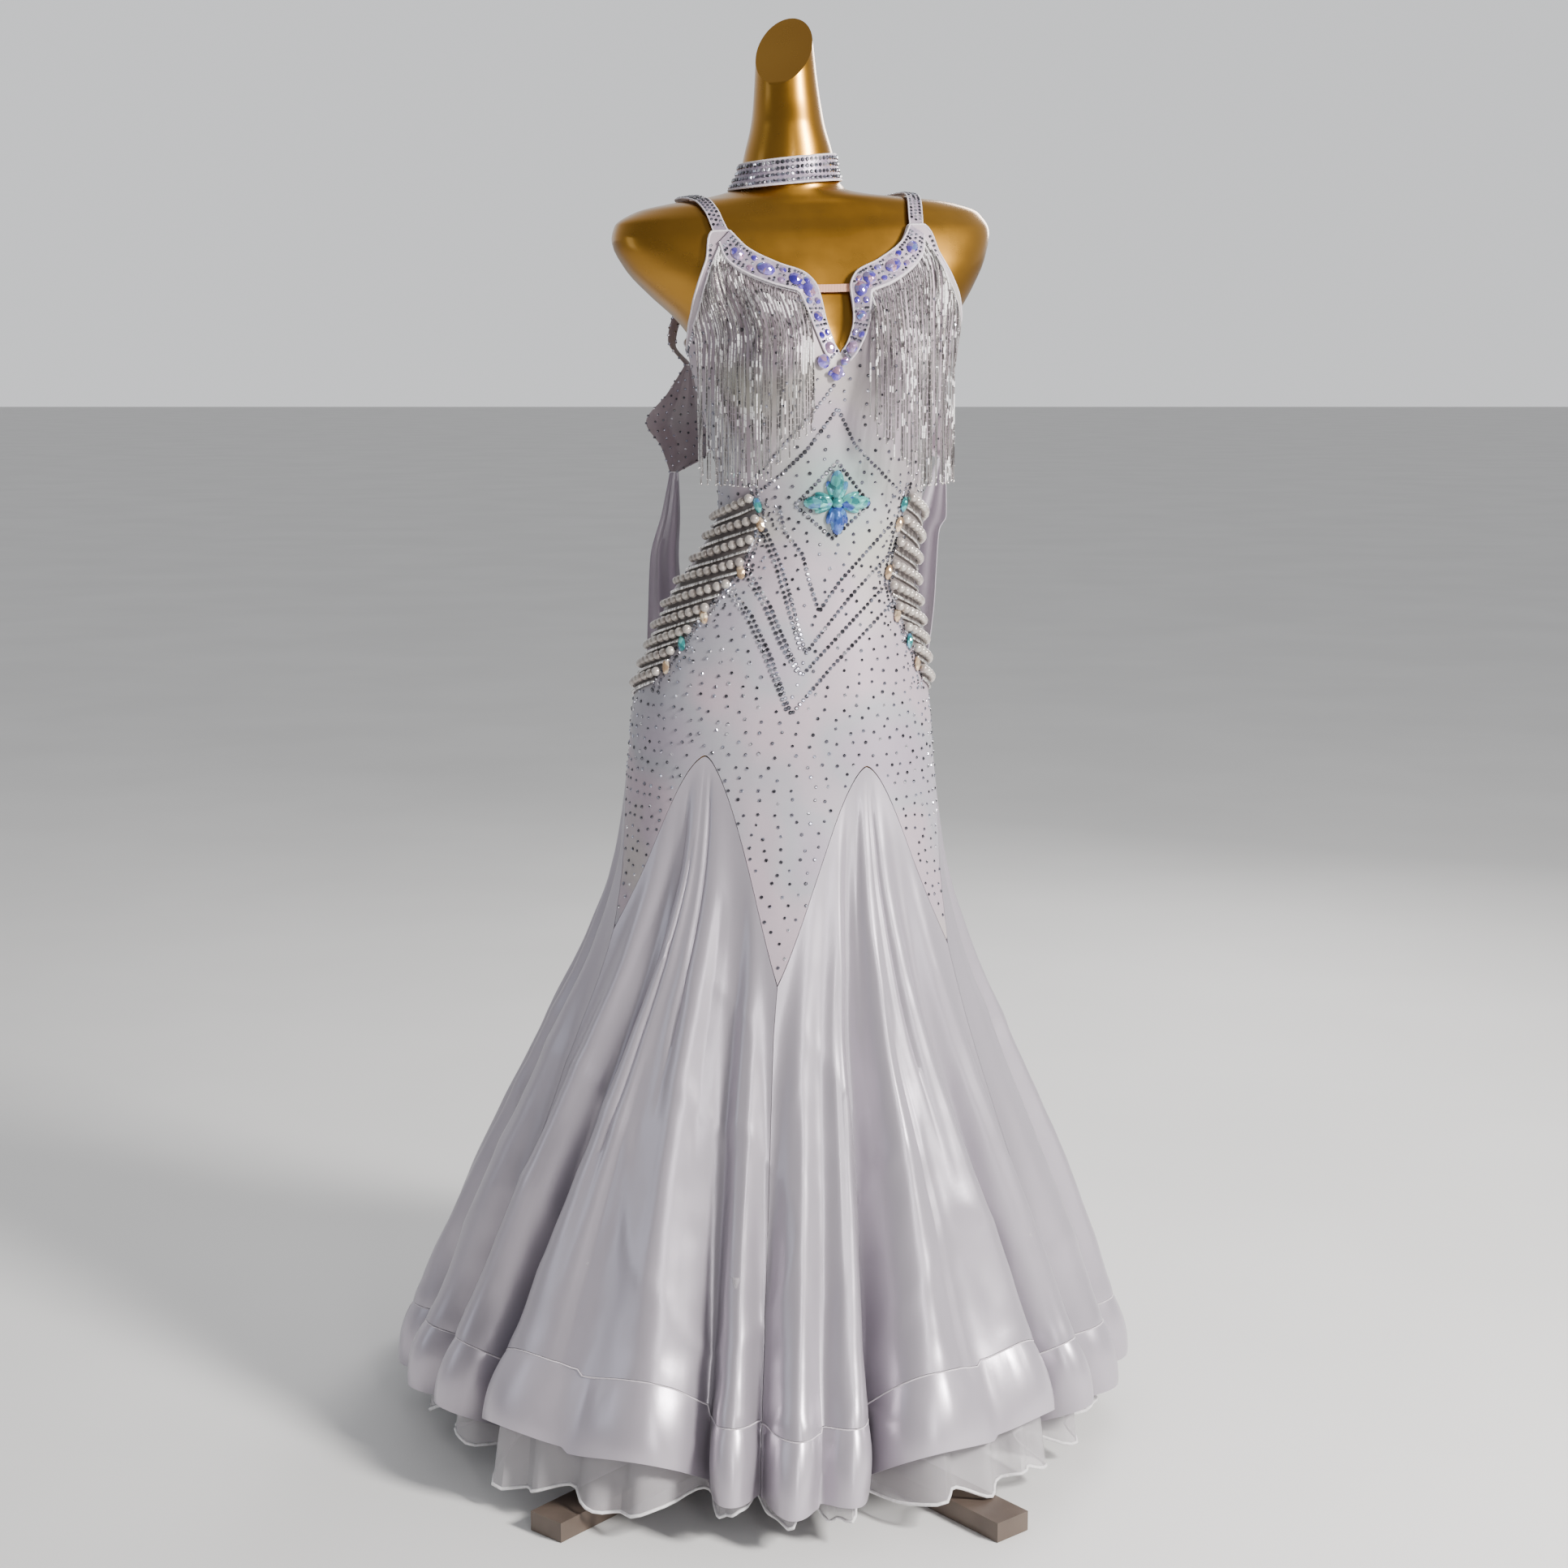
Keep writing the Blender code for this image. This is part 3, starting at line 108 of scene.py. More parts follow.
SKIRT = [Section(*row) for row in (
    (0.02, -0.0200, 0.126, 0.446, 0.484, 0.500, 2.15, 0, 0.0),
    (0.10, -0.0190, 0.117, 0.427, 0.449, 0.474, 2.15, 0, 0.0),
    (0.20, -0.0160, 0.098, 0.391, 0.380, 0.420, 2.10, 0, 0.0),
    (0.30, -0.0130, 0.075, 0.350, 0.316, 0.358, 2.10, 0, 0.0),
    (0.40, -0.0100, 0.052, 0.304, 0.256, 0.298, 2.10, 0, 0.0),
    (0.50, -0.0070, 0.032, 0.256, 0.203, 0.240, 2.10, 0, 0.0),
    (0.60, -0.0030, 0.015, 0.212, 0.158, 0.190, 2.15, 1, 0.0),
    (0.70, 0.0000, 0.005, 0.182, 0.122, 0.152, 2.15, 2, 0.0),
)]
CUP_ACROSS = 0.066
CUP_LEVEL = 1.243
CUP_DEPTH = 0.036
CUP_WIDE = 0.045
CUP_ABOVE = 0.055
CUP_BELOW = 0.040

Godet = namedtuple("Godet", "name start end top hem_start hem_end")
GODETS = [Godet(*row) for row in (
    ("back_left", -180, -120, 0.800, -180, -120),
    ("side_left", -120, -60, 0.785, -120, -65),
    ("front_left", -60, 0, 0.817, -65, 0),
    ("front_right", 0, 60, 0.803, 0, 65),
    ("side_right", 60, 120, 0.785, 65, 120),
    ("back_right", 120, 180, 0.800, 120, 180),
)]
POINTS = {-180: 0.565, -120: 0.590, -60: 0.615, 0: 0.570, 60: 0.597, 120: 0.590, 180: 0.565}
GODET_ROUND = 1.6
Fold = namedtuple("Fold", "angle depth hem back")
FOLDS = [Fold(*row) for row in (
    (-180, 0.070, 0.055, 0.000), (-164, 0.060, 0.050, 0.010), (-149, 0.075, 0.060, 0.000),
    (-134, 0.055, 0.050, 0.006), (-120, 0.075, 0.055, 0.000), (-105, 0.060, 0.050, 0.008),
    (-90, 0.080, 0.050, 0.000), (-77, 0.060, 0.062, 0.004), (-65, 0.070, 0.075, 0.010),
    (-52, 0.085, 0.098, 0.000), (-28, 0.014, 0.092, 0.003), (-7, 0.065, 0.052, 0.010),
    (0, 0.055, 0.043, 0.000), (7.5, 0.026, 0.050, 0.006), (16, 0.085, 0.094, 0.000),
    (36, 0.014, 0.100, 0.000), (54, 0.075, 0.072, 0.010), (65, 0.060, 0.060, 0.006),
    (78, 0.070, 0.055, 0.000), (91, 0.060, 0.050, 0.006), (105, 0.075, 0.055, 0.000),
    (120, 0.060, 0.050, 0.008), (136, 0.075, 0.060, 0.000), (150, 0.055, 0.050, 0.008),
    (165, 0.070, 0.055, 0.000), (180, 0.070, 0.055, 0.000),
)]

# Creases that run down the satin: the hem angle, half width in degrees, depth (positive is inwards), and
# where each begins and ends, from 0 at the godet's top to 1 at the hem.
Crease = namedtuple("Crease", "angle width depth begins ends")
CREASES = [Crease(*row) for row in (
    (-171, 1.6, 0.005, 0.05, 0.80), (-157, 1.4, -0.004, 0.25, 0.95), (-142, 1.7, 0.005, 0.10, 0.70),
    (-127, 1.3, 0.004, 0.30, 0.90), (-112, 1.5, 0.005, 0.10, 0.75), (-98, 1.5, -0.004, 0.20, 0.90),
    (-84, 1.4, 0.004, 0.15, 0.80), (-71, 1.2, 0.004, 0.30, 0.95), (-47, 1.1, 0.0050, 0.03, 0.62),
    (-43, 1.5, -0.0035, 0.30, 0.97), (-38.5, 1.0, 0.0040, 0.12, 0.80), (-33, 1.3, 0.0030, 0.45, 0.98),
    (-22.5, 1.2, 0.0045, 0.02, 0.55), (-18, 1.4, -0.0030, 0.30, 0.92), (-13.5, 0.9, 0.0045, 0.15, 0.98),
    (-3.8, 0.7, 0.0035, 0.20, 0.90), (3.2, 0.8, 0.0035, 0.30, 0.95), (11.5, 0.7, 0.0030, 0.20, 0.90),
    (21.5, 1.1, 0.0040, 0.05, 0.70), (26.5, 1.5, -0.0035, 0.25, 0.97), (31, 1.0, 0.0040, 0.40, 0.98),
    (41, 1.3, 0.0045, 0.03, 0.65), (46.5, 1.2, -0.0030, 0.30, 0.95), (59, 1.2, 0.0040, 0.20, 0.90),
    (71, 1.5, 0.005, 0.10, 0.80), (84, 1.3, -0.004, 0.20, 0.90), (98, 1.5, 0.005, 0.10, 0.75),
    (112, 1.4, 0.004, 0.25, 0.95), (128, 1.6, 0.005, 0.10, 0.80), (143, 1.3, -0.004, 0.20, 0.90),
    (158, 1.5, 0.005, 0.10, 0.75), (172, 1.4, 0.004, 0.30, 0.95),
)]

Edge = namedtuple("Edge", "column across level")
SHOULDER_TAB = 1.383
BACK_TAB = 1.335
UNDERARM = 1.262
FRONT_EDGE = [Edge(*row) for row in (
    (0, 0.0000, 1.251), (1, 0.0090, 1.262), (2, 0.0172, 1.288), (3, 0.0185, 1.318), (4, 0.0280, 1.334),
    (6, 0.0550, 1.346), (8, 0.0850, 1.364), (9, 0.1010, SHOULDER_TAB), (10, 0.1170, SHOULDER_TAB),
    (11, 0.1280, 1.355), (12, 0.1400, 1.328), (13, 0.1470, 1.300),
)]
NECKLINE_ROWS = 8
BACK_EDGE = [Edge(*row) for row in (
    (0, 0.000, 1.205), (2, 0.028, 1.212), (4, 0.052, 1.245), (6, 0.066, 1.300), (8, 0.072, BACK_TAB),
    (10, 0.088, BACK_TAB), (12, 0.104, 1.305), (13, 0.118, 1.285),
)]
LAST_COLUMN = 15
COLUMN_DEGREES = 6
LEAN_FROM = 1.03
BODY_ABOVE_SEAM = 0.0012
GODET_BELOW_SEAM = 0.0006
NECK_BAND_WIDTHS = [(0.0, 0.013), (0.25, 0.017), (0.45, 0.023), (0.7, 0.025), (0.88, 0.024), (1.0, 0.016)]
PearlEdge = namedtuple("PearlEdge", "across level")
PEARL_FRONT = [PearlEdge(*row) for row in (
    (0.084, 1.112), (0.074, 1.066), (0.079, 1.018), (0.100, 0.975), (0.124, 0.935), (0.144, 0.893),
)]
PEARL_STRINGS = 9
PEARL_SWEEP = 48
PEARL_FALL = 0.040
STRAP_WIDTH = 0.0145
STRAP_CLEAR = 0.0026
STRAP_BOW = {-1: 0.042, 1: 0.016}

Across = namedtuple("Across", "outer_x outer_y outer_z inner_x inner_y inner_z")
FLOAT_WALL = 0.0014
FLOAT_TOP = 1.315
FLOAT_TACK = 0.818
FLOAT_STEPS = 44
LOOP_LEFT = [Across(*row) for row in (
    (-0.122, 0.1120, 1.296, -0.112, 0.1140, 1.293), (-0.128, 0.1030, 1.268, -0.119, 0.1040, 1.264),
    (-0.109, 0.0990, 1.240, -0.101, 0.0990, 1.240),
)]
CUFF_LEFT = [Across(*row) for row in (
    (-0.109, 0.0990, 1.2395, -0.101, 0.0990, 1.2395), (-0.130, 0.1000, 1.207, -0.090, 0.1060, 1.200),
    (-0.154, 0.0960, 1.175, -0.078, 0.1100, 1.165), (-0.137, 0.1000, 1.146, -0.082, 0.1080, 1.140),
    (-0.127, 0.0990, 1.118, -0.117, 0.1010, 1.118),
)]
STREAMER_LEFT = [Across(*row) for row in (
    (-0.127, 0.0990, 1.1174, -0.117, 0.1010, 1.1174), (-0.137, 0.0960, 1.070, -0.116, 0.1100, 1.070),
    (-0.151, 0.0980, 1.018, -0.118, 0.1150, 1.018), (-0.154, 0.1020, 0.960, -0.113, 0.1230, 0.960),
    (-0.156, 0.1080, 0.905, -0.108, 0.1360, 0.905), (-0.150, 0.1150, 0.860, -0.098, 0.1480, 0.860),
)]
LOOP_RIGHT = [Across(*row) for row in (
    (0.178, 0.1160, 1.289, 0.169, 0.1170, 1.287), (0.190, 0.1080, 1.240, 0.181, 0.1090, 1.239),
    (0.190, 0.1050, 1.196, 0.182, 0.1060, 1.196),
)]
CUFF_RIGHT = [Across(*row) for row in (
    (0.190, 0.1050, 1.1954, 0.182, 0.1060, 1.1954), (0.200, 0.1020, 1.175, 0.158, 0.1160, 1.180),
    (0.201, 0.1010, 1.155, 0.148, 0.1180, 1.158), (0.192, 0.1040, 1.133, 0.182, 0.1060, 1.133),
)]
STREAMER_RIGHT = [Across(*row) for row in (
    (0.192, 0.1040, 1.1324, 0.182, 0.1060, 1.1324), (0.193, 0.1020, 1.070, 0.160, 0.1160, 1.070),
    (0.185, 0.1060, 1.050, 0.150, 0.1220, 1.045), (0.180, 0.1120, 0.960, 0.136, 0.1320, 0.960),
    (0.173, 0.1200, 0.900, 0.124, 0.1440, 0.900), (0.165, 0.1260, 0.860, 0.112, 0.1540, 0.860),
)]

# Lines of stones on the front, each through x and z places
STONE_LINES = [
    [(0.0019, 1.088), (0.0070, 1.061), (0.0250, 1.037), (0.0327, 1.005), (0.0420, 0.975), (0.0644, 1.008),
     (0.1190, 1.069)],
    [(-0.0170, 1.072), (0.0018, 1.027), (0.0147, 0.980), (0.0276, 0.930), (0.0747, 0.990), (0.1330, 1.053)],
    [(-0.0324, 1.019), (-0.0101, 0.982), (0.0070, 0.940), (0.0233, 0.906), (0.0721, 0.958), (0.1244, 1.014)],
    [(-0.0564, 1.005), (-0.0298, 0.972), (-0.0093, 0.927), (0.0122, 0.864), (0.0567, 0.916), (0.1244, 0.985)],
    [(0.0619, 1.138), (0.0961, 1.091), (0.0567, 1.054), (0.0173, 1.091), (0.0619, 1.138)],
    [(-0.0300, 1.096), (0.0044, 1.125), (0.0300, 1.151), (0.0619, 1.196), (0.0800, 1.156), (0.1356, 1.096)],
    [(-0.0220, 1.122), (0.0180, 1.171), (0.0567, 1.220)],
    [(-0.0225, 1.071), (-0.0037, 1.026), (0.0092, 0.979), (0.0215, 0.936)],
    [(-0.0379, 1.018), (-0.0156, 0.981), (0.0015, 0.939), (0.0175, 0.912)],
    [(-0.0619, 1.004), (-0.0353, 0.971), (-0.0148, 0.926), (0.0065, 0.870)],
]


# Shapes


class Curve:
    """A smooth curve through a table's points, flat past its ends, that never overshoots them."""

    def __init__(self, xs, ys):
        self.xs, self.ys = np.array(xs, float), np.array(ys, float)
        steps = np.diff(self.xs)
        slopes = np.diff(self.ys) / steps
        inner = [2 * a * b / (a + b) if a * b > 0 else 0.0 for a, b in zip(slopes[:-1], slopes[1:])]
        self.slopes = np.array([slopes[0], *inner, slopes[-1]])

    def __call__(self, x):
        x = np.clip(x, self.xs[0], self.xs[-1])
        i = np.clip(np.searchsorted(self.xs, x) - 1, 0, len(self.xs) - 2)
        step = self.xs[i + 1] - self.xs[i]
        t = (x - self.xs[i]) / step
        return (
            (1 + 2 * t) * (1 - t) ** 2 * self.ys[i]
            + t * (1 - t) ** 2 * step * self.slopes[i]
            + t * t * (3 - 2 * t) * self.ys[i + 1]
            + t * t * (t - 1) * step * self.slopes[i + 1]
        )


def cups(x, level):
    tall = np.where(level > CUP_LEVEL, CUP_ABOVE, CUP_BELOW)
    height = np.exp(-(((level - CUP_LEVEL) / tall) ** 2))
    return CUP_DEPTH * height * sum(np.exp(-(((x - side * CUP_ACROSS) / CUP_WIDE) ** 2)) for side in (-1, 1))


def length(vectors):
    return np.linalg.norm(vectors, axis=-1, keepdims=True)


def unit(vectors):
    return vectors / np.maximum(length(vectors), 1e-12)


def run_lengths(path):
    """How far along a path each of its points lies."""
    return np.concatenate([[0], np.cumsum(np.linalg.norm(np.diff(path, axis=0), axis=1))])


class Shape:
    """A smooth surface through a table of cross-sections. Angles are in radians."""

    def __init__(self, rows):
        self.low, self.high = rows[0].level, rows[-1].level
        levels = [row.level for row in rows]
        self.curves = [Curve(levels, [row[k] for row in rows]) for k in range(len(Section._fields))]

    def section(self, level):
        return Section(*(curve(level) for curve in self.curves))

    def point(self, angle, level):
        angle, level = np.broadcast_arrays(np.asarray(angle, float), np.asarray(level, float))
        s = self.section(level)
        sine, cosine = np.sin(angle), np.cos(angle)
        x = s.half_width * np.sign(sine) * np.abs(sine) ** (2 / s.square)
        depth = np.where(cosine > 0, s.front, s.back)
        y = -depth * np.sign(cosine) * np.abs(cosine) ** (2 / s.square)
        y = np.where(cosine > 0, y - cups(x, level) * np.clip(2.5 * cosine, 0, 1), y)
        turn = np.radians(s.turn)
        across = x * np.cos(turn) - y * np.sin(turn)
        along = x * np.sin(turn) + y * np.cos(turn)
        return np.stack([s.centre_x + across, s.centre_y + along, level + s.rise * across], axis=-1)

    def normal(self, angle, level):
        around = self.point(angle + 0.02, level) - self.point(angle - 0.02, level)
        over = self.point(angle, np.minimum(self.high, level + 0.003))
        return unit(np.cross(around, over - self.point(angle, np.maximum(self.low, level - 0.003))))

    def skin(self, angle, level, out):
        out = np.asarray(out, float)
        return self.point(angle, level) + self.normal(angle, level) * out[..., None]

    def angle_at(self, across, level):
        s = self.section(level)
        share = np.minimum(1.0, np.abs(across) / s.half_width)
        return np.sign(across) * np.arcsin(share ** (s.square / 2))

    def angle_for_x(self, x, level):
        """The angle on the front where the surface has a given x."""
        low, high = np.full_like(x, -1.5), np.full_like(x, 1.5)
        for _ in range(30):
            middle = (low + high) / 2
            beyond = self.point(middle, level)[..., 0] > x
            low, high = np.where(beyond, low, middle), np.where(beyond, middle, high)
        return (low + high) / 2


DRESS = Shape(SKIRT + BODY)
FORM = Shape(FORM_HIP + BODY + NECK)


def back_angle(across, level):
    return np.sign(across) * math.pi - DRESS.angle_at(across, level)


def on_body(angle, level, out):
    """A place on the outside of the body's cloth."""
    return DRESS.skin(angle, level, EASE + CLOTH + out)


def grid_normals(grid, ring=False):
    if ring:
        ahead = unit(np.roll(grid, -1, axis=1) - grid)
        across = ahead + np.roll(ahead, 1, axis=1)
    else:
        steps = unit(np.diff(grid, axis=1))
        across = np.concatenate([steps[:, :1], steps[:, 1:] + steps[:, :-1], steps[:, -1:]], axis=1)
    steps = unit(np.diff(grid, axis=0))
    up = np.concatenate([steps[:1], steps[1:] + steps[:-1], steps[-1:]])
    return unit(np.cross(across, up))


def waves(points, scale, seed=0.0):
    """Smooth noise from -1 to 1 at each point."""
    flat = points.reshape(-1, 3) * scale
    values = [noise.noise(Vector((p[0] + seed, p[1], p[2]))) for p in flat]
    return np.array(values).reshape(points.shape[:-1])


# Materials


class Paint:
    """A material under construction, with its nodes."""

    def __init__(self, name, colour, roughness, **sockets):
        self.material = bpy.data.materials.new(name)
        self.material.use_nodes = True
        self.nodes, self.links = self.material.node_tree.nodes, self.material.node_tree.links
        self.shader = self.nodes["Principled BSDF"]
        self.shader.inputs["Base Color"].default_value = (*colour, 1)
        self.shader.inputs["Roughness"].default_value = roughness
        for socket, value in sockets.items():
            self.shader.inputs[socket.replace("_", " ")].default_value = value
        self.place = self.nodes.new("ShaderNodeTexCoord").outputs["Object"]
        self.height = None

    def stretched(self, scale):
        node = self.nodes.new("ShaderNodeMapping")
        node.inputs["Scale"].default_value = scale
        self.links.new(self.place, node.inputs["Vector"])
        return node.outputs["Vector"]

    def noise(self, scale, detail=3.0, stretch=None):
        node = self.nodes.new("ShaderNodeTexNoise")
        node.inputs["Scale"].default_value = scale
        node.inputs["Detail"].default_value = detail
        self.links.new(self.stretched(stretch) if stretch else self.place, node.inputs["Vector"])
        return node.outputs["Fac"]

    def cells(self, scale):
        node = self.nodes.new("ShaderNodeTexVoronoi")
        node.inputs["Scale"].default_value = scale
        self.links.new(self.place, node.inputs["Vector"])
        return node.outputs["Color"]

    def wave(self, scale, direction, distortion=0.0):
        node = self.nodes.new("ShaderNodeTexWave")
        node.bands_direction = direction
        node.inputs["Scale"].default_value = scale
        node.inputs["Distortion"].default_value = distortion
        self.links.new(self.place, node.inputs["Vector"])
        return node.outputs["Fac"]

    def attribute(self, name):
        node = self.nodes.new("ShaderNodeAttribute")
        node.attribute_name = name
        return node.outputs["Fac"]

    def ramp(self, value, stops):
        node = self.nodes.new("ShaderNodeValToRGB")
        ramp = node.color_ramp
        while len(ramp.elements) < len(stops):
            ramp.elements.new(0.5)
        for element, (place, colour) in zip(ramp.elements, stops):
            element.position = place
            element.color = (*colour, 1)
        self.links.new(value, node.inputs["Fac"])
        return node.outputs["Color"]

    def mix(self, share, first, second):
        node = self.nodes.new("ShaderNodeMix")
        node.data_type = "RGBA"
        for socket, value in ((node.inputs[0], share), (node.inputs[6], first), (node.inputs[7], second)):
            if isinstance(value, bpy.types.NodeSocket):
                self.links.new(value, socket)
            else:
                socket.default_value = value if isinstance(value, float) else (*value, 1)
        return node.outputs[2]

    def between(self, value, low, high):
        node = self.nodes.new("ShaderNodeMapRange")
        node.inputs["To Min"].default_value = low
        node.inputs["To Max"].default_value = high
        self.links.new(value, node.inputs["Value"])
        return node.outputs["Result"]

    def colour(self, value):
        self.links.new(value, self.shader.inputs["Base Color"])

    def roughness(self, value):
        self.links.new(value, self.shader.inputs["Roughness"])

    def bump(self, value, strength, distance):
        node = self.nodes.new("ShaderNodeBump")
        node.inputs["Strength"].default_value = strength
        node.inputs["Distance"].default_value = distance
        self.links.new(value, node.inputs["Height"])
        if self.height:
            self.links.new(self.height, node.inputs["Normal"])
        self.height = node.outputs["Normal"]
        self.links.new(self.height, self.shader.inputs["Normal"])


def paint_gold():
    paint = Paint(
        "gold_paint", (0.38, 0.185, 0.022), 0.27, Metallic=0.96, Coat_Weight=0.3, Coat_Roughness=0.12)
    cloud = paint.noise(5, 2)
    paint.colour(paint.ramp(cloud, [(0.3, (0.33, 0.155, 0.016)), (0.7, (0.43, 0.22, 0.030))]))
    paint.roughness(paint.between(paint.noise(40, 4), 0.24, 0.33))
    paint.bump(paint.noise(900, 2), 0.02, 0.0002)
    return paint.material


def paint_stretch():
    """Fine stretch knit with faint pastel tints, and painted shade: greyer behind the pearls and darker on the
    left float.
    """
    paint = Paint(
        "stretch_knit", (0.46, 0.40, 0.45), 0.40, Metallic=0.15, Sheen_Weight=0.2, Sheen_Roughness=0.4)
    tints = [
        (0.30, (0.450, 0.430, 0.370)), (0.42, (0.420, 0.345, 0.400)), (0.50, (0.440, 0.355, 0.405)),
        (0.60, (0.350, 0.345, 0.385)), (0.72, (0.370, 0.315, 0.385)),
    ]
    tinted = paint.ramp(paint.noise(7, 1.5), tints)
    fine = paint.mix(paint.between(paint.noise(700, 2), 0.0, 0.3), tinted, (0.26, 0.23, 0.27))
    cool = paint.mix(paint.attribute("aqua"), fine, (0.22, 0.37, 0.33))
    # Painted shade: a vertex attribute darkens the knit behind the pearl strings and on the left float, which
    # lies in shadow.
    paint.colour(paint.mix(paint.attribute("painted_shade"), cool, (0.135, 0.115, 0.110)))
    paint.roughness(paint.between(paint.noise(60, 3), 0.32, 0.48))
    paint.bump(paint.wave(420, "Z", 1.0), 0.12, 0.0003)
    paint.bump(paint.noise(1500, 2), 0.15, 0.0003)
    return paint.material


def paint_satin(name, colour, deep):
    """Heavy satin: smooth, with fine threads and a soft broken shine."""
    paint = Paint(
        name, colour, 0.30, Metallic=0.55, Sheen_Weight=0.15, Sheen_Roughness=0.3, Coat_Weight=0.10,
        Coat_Roughness=0.35,
    )
    cloud = paint.noise(4, 3, (1, 1, 0.35))
    lit = paint.mix(paint.between(cloud, 0.0, 0.55), colour, deep)
    # Painted shade: a vertex attribute darkens the satin in its fold valleys and on the left streamer, which
    # lies in shadow.
    paint.colour(paint.mix(paint.attribute("painted_shade"), lit, (0.13, 0.12, 0.14)))
    paint.roughness(paint.between(paint.noise(30, 3, (1, 1, 0.12)), 0.27, 0.42))
    paint.bump(paint.noise(700, 2, (1, 1, 0.05)), 0.10, 0.0003)
    paint.bump(paint.noise(28, 4, (1, 1, 0.45)), 0.16, 0.0025)
    return paint.material


def paint_organza():
    paint = Paint("organza", (0.62, 0.59, 0.62), 0.35, Alpha=0.34, Sheen_Weight=0.5)
    threads = paint.mix(0.5, paint.wave(500, "Z"), paint.wave(500, "X"))
    paint.colour(paint.ramp(threads, [(0.3, (0.46, 0.43, 0.46)), (0.8, (0.76, 0.73, 0.76))]))
    paint.bump(paint.noise(300, 3), 0.2, 0.0004)
    return paint.material


def paint_piping(name, colour, roughness=0.45):
    paint = Paint(name, colour, roughness, Sheen_Weight=0.3)
    paint.colour(paint.ramp(paint.noise(250, 2), [
        (0.3, tuple(0.86 * c for c in colour)), (0.7, tuple(min(1.0, 1.08 * c) for c in colour))]))
    paint.bump(paint.wave(350, "DIAGONAL"), 0.3, 0.0004)
    return paint.material


def paint_jewelled():
    paint = Paint("jewelled_cloth", (0.36, 0.30, 0.38), 0.35, Metallic=0.3, Sheen_Weight=0.2)
    paint.colour(paint.ramp(paint.noise(90, 3), [(0.3, (0.24, 0.19, 0.27)), (0.7, (0.44, 0.37, 0.44))]))
    paint.bump(paint.noise(500, 3), 0.4, 0.0008)
    return paint.material


def paint_stones(name, stops, metallic=0.75, roughness=0.10):
    """Cut stones: each one takes its own colour from where it sits."""
    paint = Paint(
        name, stops[0][1], roughness, Metallic=metallic, Coat_Weight=0.8, Coat_Roughness=0.03, IOR=1.7)
    split = paint.nodes.new("ShaderNodeSeparateColor")
    paint.links.new(paint.cells(140), split.inputs["Color"])
    paint.colour(paint.ramp(split.outputs[0], stops))
    paint.roughness(paint.between(split.outputs[1], roughness * 0.6, roughness * 1.8))
    return paint.material


def paint_beads():
    paint = Paint(
        "bugle_beads", (0.60, 0.57, 0.56), 0.14, Metallic=0.95, Coat_Weight=0.4, Coat_Roughness=0.05)
    # Painted reflection: dark and near-white streaks run along the strands.
    painted_reflection_streaks = paint.noise(420, 1, (1, 1, 0.06))
    paint.colour(paint.ramp(painted_reflection_streaks, [
        (0.32, (0.17, 0.155, 0.15)), (0.44, (0.52, 0.49, 0.48)), (0.54, (0.86, 0.83, 0.80)),
        (0.64, (0.98, 0.96, 0.94))]))
    paint.roughness(paint.between(paint.noise(160, 2, (1, 1, 0.3)), 0.04, 0.32))
    return paint.material


def paint_glint_beads():
    # Painted glints: near-white beads that stand for the sparkle of the fringe.
    paint = Paint("painted_glint_beads", (0.93, 0.92, 0.92), 0.12, Coat_Weight=1.0, Coat_Roughness=0.03, IOR=1.9)
    paint.colour(paint.ramp(paint.noise(300, 1), [(0.35, (0.84, 0.83, 0.83)), (0.6, (0.97, 0.96, 0.96))]))
    paint.roughness(paint.between(paint.noise(200, 2), 0.05, 0.2))
    return paint.material


def paint_pearl():
    paint = Paint(
        "pearl_shell", (0.40, 0.36, 0.33), 0.16, Metallic=0.30, Coat_Weight=0.7, Coat_Roughness=0.06,
        Sheen_Weight=0.3,
    )
    paint.colour(paint.ramp(paint.noise(60, 2), [(0.35, (0.34, 0.29, 0.265)), (0.65, (0.46, 0.42, 0.38))]))
    paint.bump(paint.noise(400, 2), 0.04, 0.0003)
    return paint.material


def paint_elastic():
    paint = Paint("nude_elastic_band", (0.58, 0.30, 0.21), 0.65, Sheen_Weight=0.3)
    paint.colour(paint.ramp(paint.wave(260, "X"), [(0.2, (0.48, 0.23, 0.16)), (0.8, (0.66, 0.36, 0.26))]))
    paint.bump(paint.wave(260, "X"), 0.5, 0.0006)
    return paint.material


def paint_stand(name, colour, metallic):
    paint = Paint(name, colour, 0.42, Metallic=metallic)
    worn = paint.noise(14, 5)
    paint.colour(paint.ramp(worn, [(0.35, colour), (0.75, tuple(min(1.0, 1.5 * c) for c in colour))]))
    paint.roughness(paint.between(paint.noise(60, 4), 0.30, 0.55))
    paint.bump(paint.noise(350, 3), 0.12, 0.0004)
    return paint.material


GOLD = paint_gold()
STRETCH = paint_stretch()
SATIN = paint_satin("satin_cloth", (0.50, 0.455, 0.51), (0.36, 0.34, 0.40))
BAND_SATIN = paint_satin("band_satin_cloth", (0.54, 0.49, 0.55), (0.41, 0.385, 0.445))
ORGANZA = paint_organza()
EDGE_WHITE = paint_piping("horsehair_edge", (0.80, 0.78, 0.80))
PIPING = paint_piping("lilac_piping", (0.60, 0.55, 0.60))
JEWELLED = paint_jewelled()
CRYSTAL = paint_stones("small_crystals", [
    (0.0, (0.045, 0.045, 0.055)), (0.35, (0.13, 0.13, 0.15)), (0.6, (0.24, 0.23, 0.28)),
    (0.8, (0.44, 0.46, 0.56)), (1.0, (0.92, 0.90, 0.94))], 0.9)
